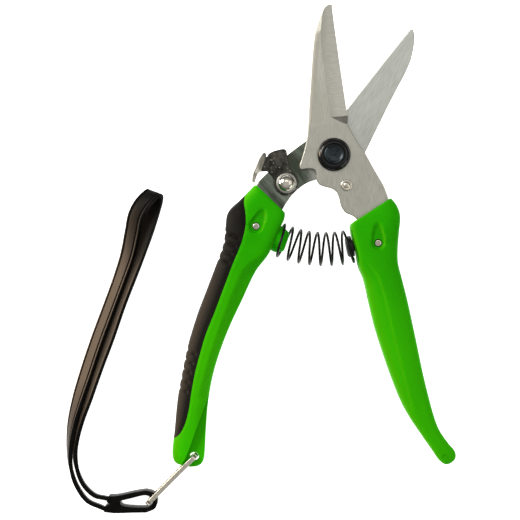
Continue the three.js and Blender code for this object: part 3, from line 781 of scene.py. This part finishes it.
def front_grind():
    top = FRONT_Z[1]
    edge = FRONT_Z[0] + 0.3
    above = 2.0
    sections = [
        ((-5.2, 72.0, top), (0.2, 72.0, edge)), ((-6.0, 60.8, top), (0.6, 61.5, edge)),
        ((-5.8, 49.8, top), (2.2, 50.6, edge)), ((-4.3, 37.0, top), (4.0, 37.9, edge)),
        ((-2.9, 26.0, top), (5.6, 26.9, edge)), ((-1.1, 16.4, top), (7.0, 17.4, edge)),
    ]
    rings = ground(sections, -0.28)
    for ring in rings[:-1]:
        far = ring[-1] + Vector((3, 0, 0))
        ring += [far, Vector((far.x, far.y, top + above)), Vector((ring[0].x, ring[0].y, top + above))]
    # The lower end runs out in a sloping face that rises towards the pivot.
    run_out = 4.6
    last = rings[-1]
    rise = Vector((0, -run_out, top - edge)) / (top - edge)
    far = last[0].lerp(last[-1], 1.4)
    last += [far, far + rise * (top + above - far.z), last[0] + rise * above]
    return skin("front_grind", rings)


SPINE = [
    (-1.0, 69.5), (-4.3, 64.2), (-6.8, 58.1), (-8.4, 52.0), (-9.4, 42.0), (-10.2, 29.0), (-11.2, 15.0),
    (-11.9, 7.0),
]


def spine_bevel():
    """The shallow flat ground along the back of the front blade."""
    top = FRONT_Z[1]
    over = top + 1
    reach = 2
    rings = []
    for x, y in catmull([Vector(p) for p in SPINE], 3.0):
        width = 2.2 * smoothstep(7.0, 22.0, y) + 0.02
        drop = 0.62 * smoothstep(5.0, 22.0, y)
        low = top - drop * (width + reach) / width if width > 0.5 else top
        inner = x + width
        outer = x - reach
        rings.append([(inner, y, top), (inner, y, over), (outer, y, over), (outer, y, low)])
    return skin("spine_bevel", rings)


def make_front_blade():
    obj = plate("front_blade_body", "front_blade", FRONT_Z[0], *FRONT_Z)
    combine(obj, [front_grind(), spine_bevel()])
    place(obj, "right_half", "blade_steel", FINISHES["front_blade"], "front_blade", sharp=20)


def make_rear_blade():
    obj = plate("rear_blade_body", "rear_blade", REAR_Z[1], *REAR_Z, top=0.4)
    edge = REAR_Z[1] - 0.3
    low = REAR_Z[0]
    sections = [((11.0, 17.8, low), (5.3, 20.8, edge)), ((41.0, 56.2, low), (37.2, 61.4, edge))]
    rings = ground(sections, 0.2)
    for ring in rings:
        away = (ring[-1] - ring[0]).normalized() * 3
        far = ring[-1] + Vector((away.x, away.y, 0))
        ring += [far, Vector((far.x, far.y, low - 2)), Vector((ring[0].x, ring[0].y, low - 2))]
    combine(obj, [skin("rear_grind", rings)])
    place(obj, "left_half", "blade_steel", FINISHES["rear_blade"], "rear_blade", sharp=20)


# ---------- main pivot, stop rivet ----------
COLLAR_Z = 10.95
PIVOT_BORE = 3.0
STOP_RIVET = (5.5, -13.4)


def make_pivot():
    floor = COLLAR_Z + 1.2
    crown = COLLAR_Z + 2.85
    collar = [(PIVOT_BORE, COLLAR_Z), (7.05, COLLAR_Z), (7.3, COLLAR_Z + 0.3)]
    for cos, sin in [(1.0, 0.0), *quarter(12)]:
        collar.append((5.05 + 2.25 * cos ** 1.15, COLLAR_Z + 0.5 + 2.35 * sin ** 1.15))
    collar += [(4.8, crown - 0.04), (4.7, crown - 0.2), (4.68, floor), (PIVOT_BORE, floor)]
    obj = turned("pivot_collar_ring", (0, 0), collar, 96)
    place(obj, "right_half", "pivot_black", FINISHES["pivot_black"], "pivot_collar")
    seat = floor + 0.3
    bolt = [
        (0, 0), (2.3, 0), (2.7, 0.4), (2.7, seat), (4.25, seat), (4.35, seat + 0.12),
        (4.35, seat + 0.72), (4.2, seat + 0.98), (3.95, seat + 1.08), (3.55, seat + 0.98),
        (3.2, seat + 0.72), (2.2, seat + 0.6), (0, seat + 0.56)]
    obj = turned("pivot_bolt_body", (0, 0), bolt, 96)
    place(obj, "left_half", "pivot_head_steel", FINISHES["pivot_head"], "pivot_bolt")
    bush = turned("pivot_bush_body", (0, 0), fillet(tube(PIVOT_BORE, 4.2, *FRONT_Z), 0.15))
    place(bush, "right_half", "hidden_steel", FINISHES["plain"], "pivot_bush")
    washer = turned("pivot_washer_body", (0, 0), fillet(tube(PIVOT_BORE, 6.2, 4.3, 5.05), 0.18), 80)
    place(washer, "left_half", "hidden_steel", FINISHES["plain"], "pivot_washer")


def make_pivot_nut():
    low = 0.5
    high = 4.0
    flat = 5.0
    corner = 2 * flat / math.sqrt(3)
    rim = corner + 0.2
    obj = slab("pivot_nut_body", hexagon((0, 0), corner), low, high)
    chamfer = [
        (0, low), (flat, low), (rim, low + 0.55), (rim, high - 0.1), (flat + 0.2, high), (0, high)]
    combine(obj, [turned("chamfer", (0, 0), chamfer, 72)], "INTERSECT")
    bore = [
        (0, low - 1), (3.35, low - 1), (3.35, low), (PIVOT_BORE, low + 0.4), (PIVOT_BORE, high + 1),
        (0, high + 1)]
    combine(obj, [turned("bore", (0, 0), bore)])
    bevel(obj, 0.08, 1)
    place(obj, "left_half", "hidden_steel", FINISHES["plain"], "pivot_nut")


def make_stop_rivet():
    z = FRONT_Z[1] + 0.3
    profile = [
        (0, REAR_Z[0]), (1.6, REAR_Z[0]), (1.6, z), (2.42, z), (2.5, z + 0.12), (2.44, z + 0.42),
        (2.2, z + 0.58), (1.8, z + 0.6), (1.5, z + 0.5), (1.38, z + 0.28), (1.25, z + 0.2)]
    profile += [(1.15 * cos, z + 0.2 + 0.3 * sin) for cos, sin in quarter(6)]
    profile[-1] = (0, z + 0.5)
    obj = turned("stop_rivet_body", STOP_RIVET, profile)
    place(obj, "right_half", "nickel", FINISHES["nickel"], "stop_rivet")


# ---------- thumb latch ----------
LATCH = Vector((-20.8, -12.5))
LATCH_Z = (8.15, 10.15)


def make_latch_plate():
    obj = plate("latch_plate_body", "latch_plate", LATCH_Z[1], *LATCH_Z, step=0.5, top=0.5)
    place(obj, "latch", "latch_steel", FINISHES["latch"], "latch_plate")


# The thumb piece between its foot, on the plate's side, and its rim, which stands higher and further out.
TAB_FOOT = [
    (-29.6, 0.2, 9.4), (-30.1, -1.7, 9.3), (-31.1, -4.6, 9.2), (-31.9, -7.0, 9.2), (-33.4, -8.2, 9.6),
    (-34.2, -10.0, 10.4), (-34.7, -12.2, 11.2),
]
TAB_RIM = [
    (-30.6, 0.9, 12.2), (-32.3, -1.3, 13.2), (-33.8, -4.7, 13.7), (-34.9, -7.4, 13.6),
    (-35.4, -8.9, 13.4), (-35.7, -10.6, 13.1), (-35.8, -12.3, 12.8),
]
TAB_THICK = 0.9
TAB_RIBS = 4
TAB_RIB_HEIGHT = 0.13
TAB_ROWS = 34
TAB_COLUMNS = 24
WEB = [(-28.8, -1.0), (-28.8, -7.2), (-32.6, -7.4), (-31.8, -5.2), (-30.6, -1.7), (-30.1, -0.6)]


def make_latch_tab():
    """The thumb piece: a ribbed wing bent up from the plate's web."""
    feet = catmull([Vector(p) for p in TAB_FOOT], 0.4)
    tops = catmull([Vector(p) for p in TAB_RIM], 0.4)
    along = (feet[-1] - feet[0]).normalized()
    rings = []
    for k in range(TAB_ROWS + 1):
        t = k / TAB_ROWS
        foot = feet[round(t * (len(feet) - 1))]
        top = tops[round(t * (len(tops) - 1))]
        across = (top - foot).normalized()
        out = across.cross(along).normalized()
        end = min(1.0, 0.35 + 6 * min(t, 1 - t))
        face = []
        back = []
        for i in range(TAB_COLUMNS + 1):
            share = i / TAB_COLUMNS
            edge = 1 - abs(2 * share - 1) ** 6
            rib = TAB_RIB_HEIGHT * math.cos(share * TAU * TAB_RIBS)
            middle = foot.lerp(top, share)
            face.append(middle + out * edge * end * (TAB_THICK / 2 + rib))
            back.append(middle - out * edge * end * TAB_THICK / 2)
        rings.append(face + back[-2:0:-1])
    obj = skin("latch_tab_wing", rings)
    place(obj, "latch", "latch_steel", FINISHES["tab"])
    low = LATCH_Z[0] + 0.05
    levels = [(0.0, low), (0.0, low + 1.25), (0.25, low + 1.55)]
    web = skin("latch_web", [[(p.x, p.y, z) for p in grown(WEB, -inset)] for inset, z in levels])
    place(web, "latch", "latch_steel", FINISHES["latch"])


def make_latch_rivet():
    z = LATCH_Z[1] + 0.3
    washer = [(2.0, z), (4.5, z), (4.5, z + 0.12), (4.36, z + 0.36), (4.05, z + 0.5), (2.0, z + 0.5)]
    ring = turned("latch_washer_ring", LATCH, washer)
    place(ring, "left_half", "latch_steel", FINISHES["plain"], "latch_washer")
    foot = z + 0.8
    rear = REAR_Z[0] - 0.3
    dome = 3.6
    profile = [
        (0, rear - 0.7), (2.5, rear - 0.7), (2.85, rear - 0.6), (3.0, rear - 0.35), (2.95, rear),
        (1.7, rear), (1.7, foot), (3.4, foot), (dome, foot + 0.2)]
    profile += [(dome * cos, foot + 0.3 + 2.3 * sin) for cos, sin in quarter(14)]
    profile[-1] = (0, foot + 2.6)
    obj = turned("latch_rivet_dome", LATCH, profile, 96)
    place(obj, "left_half", "chrome", FINISHES["chrome"], "latch_rivet")


# ---------- handles ----------
# Each station crosses a handle: inner x, inner y, outer x, outer y, half thickness.
LEFT_HANDLE = [
    (-21.4, -25.6, -34.5, -13.0, 6.2), (-21.8, -28.4, -40.6, -19.3, 6.9),
    (-24.0, -33.0, -46.4, -25.2, 7.5), (-25.6, -36.9, -47.6, -31.6, 8.0),
    (-28.9, -44.0, -48.3, -38.2, 8.0), (-34.2, -51.0, -50.2, -44.2, 8.0),
    (-40.4, -64.0, -55.3, -57.8, 8.0), (-45.5, -74.9, -60.0, -70.2, 8.0),
    (-50.1, -86.7, -64.1, -83.8, 8.0), (-53.3, -97.6, -66.6, -95.6, 8.0),
    (-55.2, -108.4, -68.6, -107.2, 7.5), (-56.2, -121.0, -69.9, -120.5, 6.3),
    (-56.7, -130.6, -70.9, -130.2, 5.2), (-57.4, -134.6, -70.4, -134.0, 4.4),
    (-59.2, -136.5, -68.7, -135.8, 3.4), (-61.6, -137.2, -66.0, -136.6, 2.2),
]
RIGHT_HANDLE = [
    (10.2, -28.5, 25.1, -18.9, 6.2), (7.5, -30.6, 27.9, -22.8, 6.9),
    (7.4, -33.5, 29.1, -27.4, 7.5), (8.4, -37.8, 28.6, -33.4, 8.0),
    (9.7, -43.2, 28.0, -40.8, 8.0), (10.9, -49.4, 28.1, -47.4, 8.0),
    (13.0, -54.6, 29.6, -53.6, 8.0), (15.3, -64.9, 31.9, -62.6, 8.0),
    (18.0, -75.9, 34.3, -73.4, 8.0), (22.0, -88.4, 36.7, -84.8, 8.0),
    (25.9, -99.4, 39.0, -95.8, 7.7), (29.8, -108.9, 41.3, -105.2, 7.1),
    (33.8, -116.1, 43.5, -113.4, 6.4), (38.6, -123.2, 46.1, -120.4, 5.6),
    (43.2, -129.8, 50.2, -126.5, 4.8), (46.3, -134.2, 53.2, -130.2, 3.9),
    (48.8, -136.0, 53.5, -133.3, 2.8), (50.4, -136.2, 52.4, -135.0, 1.6),
]
LEFT_TANG = [
    (-31.0, -9.5), (-35.6, -16.0), (-39.0, -25.0), (-41.0, -34.5), (-39.6, -41.0), (-34.6, -42.5),
    (-30.0, -37.0), (-26.3, -29.5), (-22.6, -24.1), (-19.5, -20.0),
]
RIGHT_TANG = [
    (8.0, -24.0), (11.2, -29.5), (14.0, -36.0), (16.2, -46.0), (17.8, -50.5), (22.6, -49.0),
    (24.6, -40.0), (25.2, -30.0), (24.2, -20.2), (20.5, -15.5),
]
GRIP_EDGE = [
    (-38.4, -16.2), (-39.4, -20.4), (-38.7, -26.0), (-38.7, -31.4), (-40.4, -38.4), (-44.6, -48.8),
    (-48.2, -58.4), (-52.2, -69.0), (-55.9, -78.3), (-58.4, -86.7), (-60.6, -95.1), (-62.2, -103.5),
    (-63.4, -111.4), (-65.2, -118.0), (-67.6, -122.4), (-71.6, -125.2),
]
LEFT_SCREW = Vector((-34.1, -31.5))
RIGHT_SCREW = Vector((19.1, -38.8))
TAB_LINE = [
    (-54.2, -103.4), (-55.4, -106.8), (-57.6, -112.8), (-61.0, -122.2), (-64.7, -132.0), (-67.8, -137.8),
]
TANG_GAP = 0.16
# How square each handle's section is, as a power, on its outer and inner sides. The inner side is
# squarer above square_y, and falls back to the outer side's power by round_y.
LEFT_SECTION = {"outer": 2.9, "inner": 7.0, "round_y": -112.0, "square_y": -100.0}
RIGHT_SECTION = {"outer": 4.2, "inner": 9.0, "round_y": -58.0, "square_y": -42.0}
RING_SIDES = 120
RING_STEP = 0.6


class Station:
    """One crossing of a handle."""

    def __init__(self, values):
        self.inner = Vector((values[0], values[1]))
        self.outer = Vector((values[2], values[3]))
        self.half = values[4]


def middle_gap(p, q):
    """How far apart the middles of two stations are."""
    return math.hypot(p[0] + p[2] - q[0] - q[2], p[1] + p[3] - q[1] - q[3]) / 2


def hermite(t, start, start_slope, end, end_slope):
    return (
        (2 * t ** 3 - 3 * t * t + 1) * start + (t ** 3 - 2 * t * t + t) * start_slope
        + (3 * t * t - 2 * t ** 3) * end + (t ** 3 - t * t) * end_slope)


def fill_stations(rows):
    """The stations filled in about RING_STEP apart along the handle's middle."""
    out = []
    for k in range(len(rows) - 1):
        b = rows[k]
        c = rows[k + 1]
        a = rows[k - 1] if k else [2 * x - y for x, y in zip(b, c)]
        d = rows[k + 2] if k + 2 < len(rows) else [2 * y - x for x, y in zip(b, c)]
        before = middle_gap(a, b)
        here = middle_gap(b, c)
        after = middle_gap(c, d)
        pieces = max(2, round(here / RING_STEP))
        for i in range(pieces):
            row = []
            for j in range(5):
                slope_b = (c[j] - a[j]) / (before + here) * here
                slope_c = (d[j] - b[j]) / (here + after) * here
                row.append(hermite(i / pieces, b[j], slope_b, c[j], slope_c))
            out.append(Station(row))
    out.append(Station(rows[-1]))
    return out


def square_point(share):
    """A point on the square from -1 to 1, at a share of the way round it."""
    side, along = divmod(share * 4, 1)
    across = 2 * along - 1
    return ((1, across), (-across, 1), (-1, -across), (across, -1))[int(side)]


def end_inset(distance, reach, most):
    """How far a handle's surface is drawn in near its rounded end."""
    if distance >= reach:
        return 0.0
    return most * (1 - math.sqrt(max(0.0, 1 - (1 - distance / reach) ** 2)))


def handle_skin(name, rows, shape, section):
    """A handle's surface.

    shape(point, front) gives how far, in millimetres, its side and its face are sunk at a point.
    """
    stations = fill_stations(rows)
    rings = []
    for k, station in enumerate(stations):
        from_tail = len(stations) - 1 - k
        inset = end_inset(k * RING_STEP, 0.6, 0.35) + end_inset(from_tail * RING_STEP, 2.2, 0.9)
        centre = (station.inner + station.outer) / 2
        across = (station.outer - station.inner) / 2
        width = across.length - inset
        across.normalize()
        squarer = smoothstep(section["round_y"], section["square_y"], centre.y)
        inner_power = section["outer"] + (section["inner"] - section["outer"]) * squarer
        ring = []
        for i in range(RING_SIDES):
            u, v = square_point((i + 0.5) / RING_SIDES)
            power = inner_power if u < 0 else section["outer"]
            scale = (abs(u) ** power + abs(v) ** power) ** (-1 / power)
            u *= scale
            v *= scale
            side_cut, face_cut = shape(centre + across * width * u, v > 0)
            p = centre + across * u * (width - side_cut * abs(u) ** 3)
            z = v * (station.half - inset - face_cut * smoothstep(0.25, 0.8, abs(v)))
            ring.append(Vector((p.x, p.y, MID_Z + z)))
        rings.append(ring)
    return skin(name, rings)


# The teardrop recesses round the screws.
LEFT_DISH = {"lean": -0.44, "reach": 8.2, "radius": 3.2, "depth": 1.2}
RIGHT_DISH = {"lean": 0.03, "reach": 9.0, "radius": 2.9, "depth": 1.1}


def dish(point, screw, size):
    """How deep the teardrop recess round a screw is at a point."""
    away = point - screw
    up = Vector((-math.sin(size["lean"]), math.cos(size["lean"])))
    along = away.dot(up)
    side = away.dot(Vector((up.y, -up.x)))
    reach = size["reach"] if along > 0 else size["radius"]
    share = (abs(along) / reach) ** 1.6 + (abs(side) / size["radius"]) ** 2
    return size["depth"] * (1 - smoothstep(0.62, 1.12, share))


LEFT_VALLEY = catmull([Vector(p) for p in (
    (-27.6, -46.2), (-33.0, -49.2), (-37.2, -53.4), (-40.6, -61.0), (-44.6, -71.5), (-48.4, -82.0),
    (-51.6, -92.0), (-54.0, -101.0), (-56.2, -109.0))], 2.0)
VALLEY_DEPTH = 2.2
VALLEY_RISE = 1.1
RIGHT_RIDGE = catmull([Vector(p) for p in (
    (10.6, -43.0), (13.2, -45.2), (16.2, -49.1), (19.3, -53.4), (22.2, -62.0), (24.9, -74.0),
    (28.6, -89.0), (32.0, -102.0), (35.6, -114.0))], 2.0)
RIDGE_STEP = 0.62
RIDGE_LEFT_FALL = 0.45
RIDGE_RIGHT_FALL = 0.5
SEAM = catmull([Vector(p) for p in GRIP_EDGE], 1.5)
# Each set of finger ridges: y of its first crease at RIB_X, how many creases, and the spacing along y.
RIB_ROWS = ((-33.2, 4, 4.15), (-91.6, 5, 4.5))
RIB_X = -50
RIB_SLOPE = 0.42
RIB_SIDE_DEPTH = 0.5
RIB_FACE_DEPTH = 1.2


def seam_groove(point, depth, reach):
    return depth * (1 - smoothstep(0.0, reach, nearest_on_line(point, SEAM)[0]))


def left_shell_shape(point, front):
    """A rounded crest falls to a valley along the handle; the face beyond it is flatter and lower."""
    gap, share, side = nearest_on_line(point, LEFT_VALLEY)
    fade = smoothstep(0.0, 0.12, share) * (1 - smoothstep(0.93, 1.0, share))
    if side > 0:
        face = fade * (VALLEY_DEPTH - VALLEY_RISE * smoothstep(0.5, 5.5, gap))
    else:
        face = fade * VALLEY_DEPTH * (1 - smoothstep(0.0, 4.2, gap))
    if front:
        face += dish(point, LEFT_SCREW, LEFT_DISH)
    return 0.0, face + seam_groove(point, 0.3, 0.9)


def grip_shape(point, front):
    """The finger ridges run right round the grip, so front makes no difference here."""
    side = 0.0
    face = 0.0
    for start, count, pitch in RIB_ROWS:
        along = (start - point.y - RIB_SLOPE * (point.x - RIB_X)) / pitch
        if -0.5 < along < count - 0.5:
            cut = max(0.0, 1 - 3.2 * abs(along - round(along))) ** 1.3
            side += RIB_SIDE_DEPTH * cut
            face += RIB_FACE_DEPTH * cut * smoothstep(0.8, 2.2, nearest_on_line(point, SEAM)[0])
    return side, face + seam_groove(point, 0.55, 2.2)


def right_shape(point, front):
    """A low step along the handle: its left face lies lower, and its right face falls away slowly."""
    gap, share, side = nearest_on_line(point, RIGHT_RIDGE)
    fade = smoothstep(0.0, 0.2, share) * (1 - smoothstep(0.9, 1.0, share))
    if side < 0:
        step = RIDGE_STEP * smoothstep(0.0, 0.9, gap)
        face = fade * (step + RIDGE_LEFT_FALL * smoothstep(0.9, 5.5, gap))
    else:
        face = fade * RIDGE_RIGHT_FALL * smoothstep(0.3, 8.0, gap)
    if front:
        face += dish(point, RIGHT_SCREW, RIGHT_DISH)
    return 0.0, face


def screw_tools(screw):
    shank = tube(0, 1.4, 2.0, 13.5)
    front = tube(0, 1.75, 12.7, 17.0)
    rear = tube(0, 2.4, -1, 2.8)
    return [turned("tool", screw, profile, 40) for profile in (shank, front, rear)]


def grip_region():
    """A block over everything on the grip's side of the seam."""
    return slab("region", [(p.x, p.y) for p in SEAM] + [(-84, -126), (-84, -12), (-39.4, -12)], -2, 18)


def tang_slot(tang, z0, z1):
    return slab("slot", smooth_loop(grown(tang, TANG_GAP), 1.0), z0 - TANG_GAP, z1 + TANG_GAP)


SPRING_CENTRE = Vector((-3.7, 10.1))
SPRING_BEND = 51.5
SPRING_FROM = -114.1
SPRING_TO = -77.0
SPRING_RADIUS = 7.15
SPRING_WIRE = 1.1
SPRING_TURNS = 7.75
SPRING_START = math.radians(225)
BLEND_MARGIN = 4.9


def spring_point(degrees, offset=0.0):
    angle = math.radians(degrees)
    reach = SPRING_BEND + offset
    x = SPRING_CENTRE.x + reach * math.cos(angle)
    y = SPRING_CENTRE.y + reach * math.sin(angle)
    return Vector((x, y, MID_Z))


def boss(name, sections):
    """A round post along the spring's curve: sections are (degrees along the curve, radius)."""
    up = Vector((0, 0, 1))
    rings = []
    for degrees, radius in sections:
        centre = spring_point(degrees)
        rings.append(circle(centre, spring_point(degrees, 1) - centre, up, radius, 40))
    return skin(name, rings)


def make_left_handle():
    obj = handle_skin("left_handle_shell", LEFT_HANDLE, left_shell_shape, LEFT_SECTION)
    slot = tang_slot(LEFT_TANG, *REAR_Z)
    beyond = catmull([Vector(p) for p in TAB_LINE], 1.5)
    beyond += [Vector((-67.8, -139)), Vector((-50, -139)), Vector((-50, -103))]
    above = slab("above", beyond, 10.3, 18)
    below = slab("below", beyond, -2, 5.7)
    hole = turned("hole", LANYARD, tube(0, 2.0, -1, 17), 48)
    combine(obj, [grip_region(), slot, above, below, hole, *screw_tools(LEFT_SCREW)])
    place(obj, "left_half", "green_plastic", FINISHES["green_left"], "left_handle", sharp=40)
    grip = handle_skin("left_grip_sleeve", LEFT_HANDLE, grip_shape, LEFT_SECTION)
    combine(grip, [grip_region()], "INTERSECT")
    place(grip, "left_half", "soft_grip", FINISHES["grip"], "left_grip", sharp=40)
    peg = boss("left_spring_peg", [
        (-119.5, 5.8), (-112.75, 5.8), (-112.5, 5.65), (-110.1, 4.55), (-109.5, 4.1), (-109.2, 3.5)])
    place(peg, "left_half", "green_plastic", FINISHES["peg"], sharp=16)


# A narrow ledge beside the spring, lower than the right handle's face.
LEDGE = [(7.9, -33.2), (8.7, -36.8), (9.9, -41.2), (10.9, -45.6), (11.0, -49.2), (4.0, -50.0), (4.0, -32.0)]
EJECTOR_MARK = Vector((48.4, -132.4))


def make_right_handle():
    obj = handle_skin("right_handle_body", RIGHT_HANDLE, right_shape, RIGHT_SECTION)
    slot = tang_slot(RIGHT_TANG, *FRONT_Z)
    ledges = [slab("ledge", LEDGE, 12.4, 18), slab("ledge", LEDGE, -2, 3.6)]
    where = obj.ray_cast((EJECTOR_MARK.x * MM, EJECTOR_MARK.y * MM, 0.03), (0, 0, -1))[1]
    mark = turned("mark", EJECTOR_MARK, tube(0.8, 1.12, where.z / MM - 0.14, 17), 32)
    combine(obj, [slot, mark, *ledges, *screw_tools(RIGHT_SCREW)])
    place(obj, "right_half", "green_plastic", FINISHES["green_right"], "right_handle", sharp=40)
    seat = boss("spring_seat_plug", [
        (-79.7, 3.5), (-79.6, 3.9), (-79.1, 4.55), (-78.9, 4.65), (-76.6, 4.65), (-76.5, 4.5), (-76.48, 2.6),
        (-72.4, 2.6)])
    place(seat, "right_half", "seat_black", FINISHES["seat"], "right_spring_seat")


def make_handle_screws():
    rear = 0.9
    front = 14.4
    profile = [
        (0, rear - 0.3), (0.95, rear - 0.3), (1.15, rear), (1.15, front - 1.0), (1.42, front - 1.0),
        (1.5, front - 0.9), (1.5, front - 0.35), (1.42, front - 0.12), (1.2, front), (0.72, front),
        (0.6, front - 0.15), (0.5, front - 0.4), (0, front - 0.45)]
    for side, screw in (("left", LEFT_SCREW), ("right", RIGHT_SCREW)):
        body = side + "_half"
        obj = turned(side + "_handle_screw_body", screw, profile, 48)
        combine(obj, [slab("socket", hexagon(screw, 0.62), front - 1.0, front + 1)])
        place(obj, body, "nickel", FINISHES["nickel"], side + "_handle_screw")
        nut = slab(side + "_handle_nut_body", hexagon(screw, 2.1), rear, rear + 1.6)
        combine(nut, [turned("bore", screw, tube(0, 1.3, 0, 4), 40)])
        bevel(nut, 0.15)
        place(nut, body, "nickel", FINISHES["plain"], side + "_handle_nut")


# ---------- spring ----------
def make_spring():
    steps = round(SPRING_TURNS * 40)
    axis = []
    line = []
    for k in range(steps + 1):
        t = k / steps
        degrees = SPRING_FROM + t * (SPRING_TO - SPRING_FROM)
        turn = SPRING_START - t * SPRING_TURNS * TAU
        middle = spring_point(degrees)
        outwards = spring_point(degrees, 1) - middle
        rise = Vector((0, 0, SPRING_RADIUS * math.sin(turn)))
        axis.append(middle)
        line.append(middle + outwards * SPRING_RADIUS * math.cos(turn) + rise)
    rings = []
    for k, p in enumerate(line):
        along = (line[min(k + 1, steps)] - line[max(k - 1, 0)]).normalized()
        out = p - axis[k]
        out = (out - along * out.dot(along)).normalized()
        end = min(k, steps - k)
        radius = SPRING_WIRE / 2 * (1.0 if end > 1 else 0.72 + 0.2 * end)
        rings.append(circle(p, out, along.cross(out), radius, 14))
    obj = skin("spring_coil", rings)
    place(obj, None, "spring_black", FINISHES["spring"], "spring")
    margin = math.degrees(BLEND_MARGIN / SPRING_BEND)
    end = spring_point(SPRING_TO + margin) * MM
    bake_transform(obj)


# ---------- floor and light ----------
def make_stage():
    size = 1.6
    centre = Vector((-0.03, -0.04, -0.0003))
    mesh = bpy.data.meshes.new("floor")
    corners = [(-size, -size, 0), (size, -size, 0), (size, size, 0), (-size, size, 0)]
    mesh.from_pydata([centre + Vector(c) for c in corners], [], [(0, 1, 2, 3)])
    floor = bpy.data.objects.new("floor", mesh)
    bpy.context.scene.collection.objects.link(floor)
    white = Finish("floor_white", (0.9, 0.9, 0.9, 1), 0.9, Specular_IOR_Level=0.0)
    white.shader.inputs["Emission Color"].default_value = (1, 1, 1, 1)
    white.shader.inputs["Emission Strength"].default_value = 1.0
    floor.data.materials.append(white.made)


def area_light(name, place_at, towards, size, power, color=(1, 1, 1)):
    data = bpy.data.lights.new(name, "AREA")
    data.shape = "RECTANGLE"
    data.size, data.size_y = size
    data.energy = power
    data.color = color
    light = bpy.data.objects.new(name, data)
    bpy.context.scene.collection.objects.link(light)
    light.location = place_at
    light.rotation_euler = (Vector(towards) - Vector(place_at)).to_track_quat("-Z", "Y").to_euler()


def make_light():
    scene = bpy.context.scene
    scene.view_settings.view_transform = "Standard"
    world = bpy.data.worlds.new("studio")
    scene.world = world
    world.use_nodes = True
    tree = world.node_tree
    sky = tree.nodes["Background"]
    sky.inputs["Color"].default_value = (1.0, 1.0, 0.985, 1)
    where = tree.nodes.new("ShaderNodeTexCoord")
    split = tree.nodes.new("ShaderNodeSeparateXYZ")
    fall = tree.nodes.new("ShaderNodeMapRange")
    tree.links.new(where.outputs["Generated"], split.inputs[0])
    tree.links.new(split.outputs["Z"], fall.inputs["Value"])
    tree.links.new(fall.outputs[0], sky.inputs["Strength"])
    for socket, value in (("From Min", 0.5), ("From Max", 0.95), ("To Min", 0.2), ("To Max", 0.62)):
        fall.inputs[socket].default_value = value
    target = (-0.03, -0.04, 0.0)
    area_light("key", (-0.85, 0.45, 0.8), target, (0.5, 0.5), 9.6)
    area_light("right", (0.57, 0.06, 0.75), target, (0.6, 0.6), 0.95)
    area_light("fill", (0.72, -0.59, 0.35), target, (0.6, 0.4), 1.5)
    area_light("overhead", (-0.02, 0.42, 1.15), target, (0.6, 0.34), 0.8)
    area_light("warm_side", (-1.03, 0.17, 0.22), (-0.1, -0.075, 0.0), (0.45, 0.26), 10.0, (1.0, 0.8, 0.62))


make_front_blade()
make_rear_blade()
make_pivot()
make_pivot_nut()
make_stop_rivet()
make_latch_plate()
make_latch_tab()
make_latch_rivet()
make_left_handle()
make_right_handle()
make_handle_screws()
make_spring()
make_stage()
make_light()


def corners(box):
    return [[float(c) for c in corner] for corner in box]
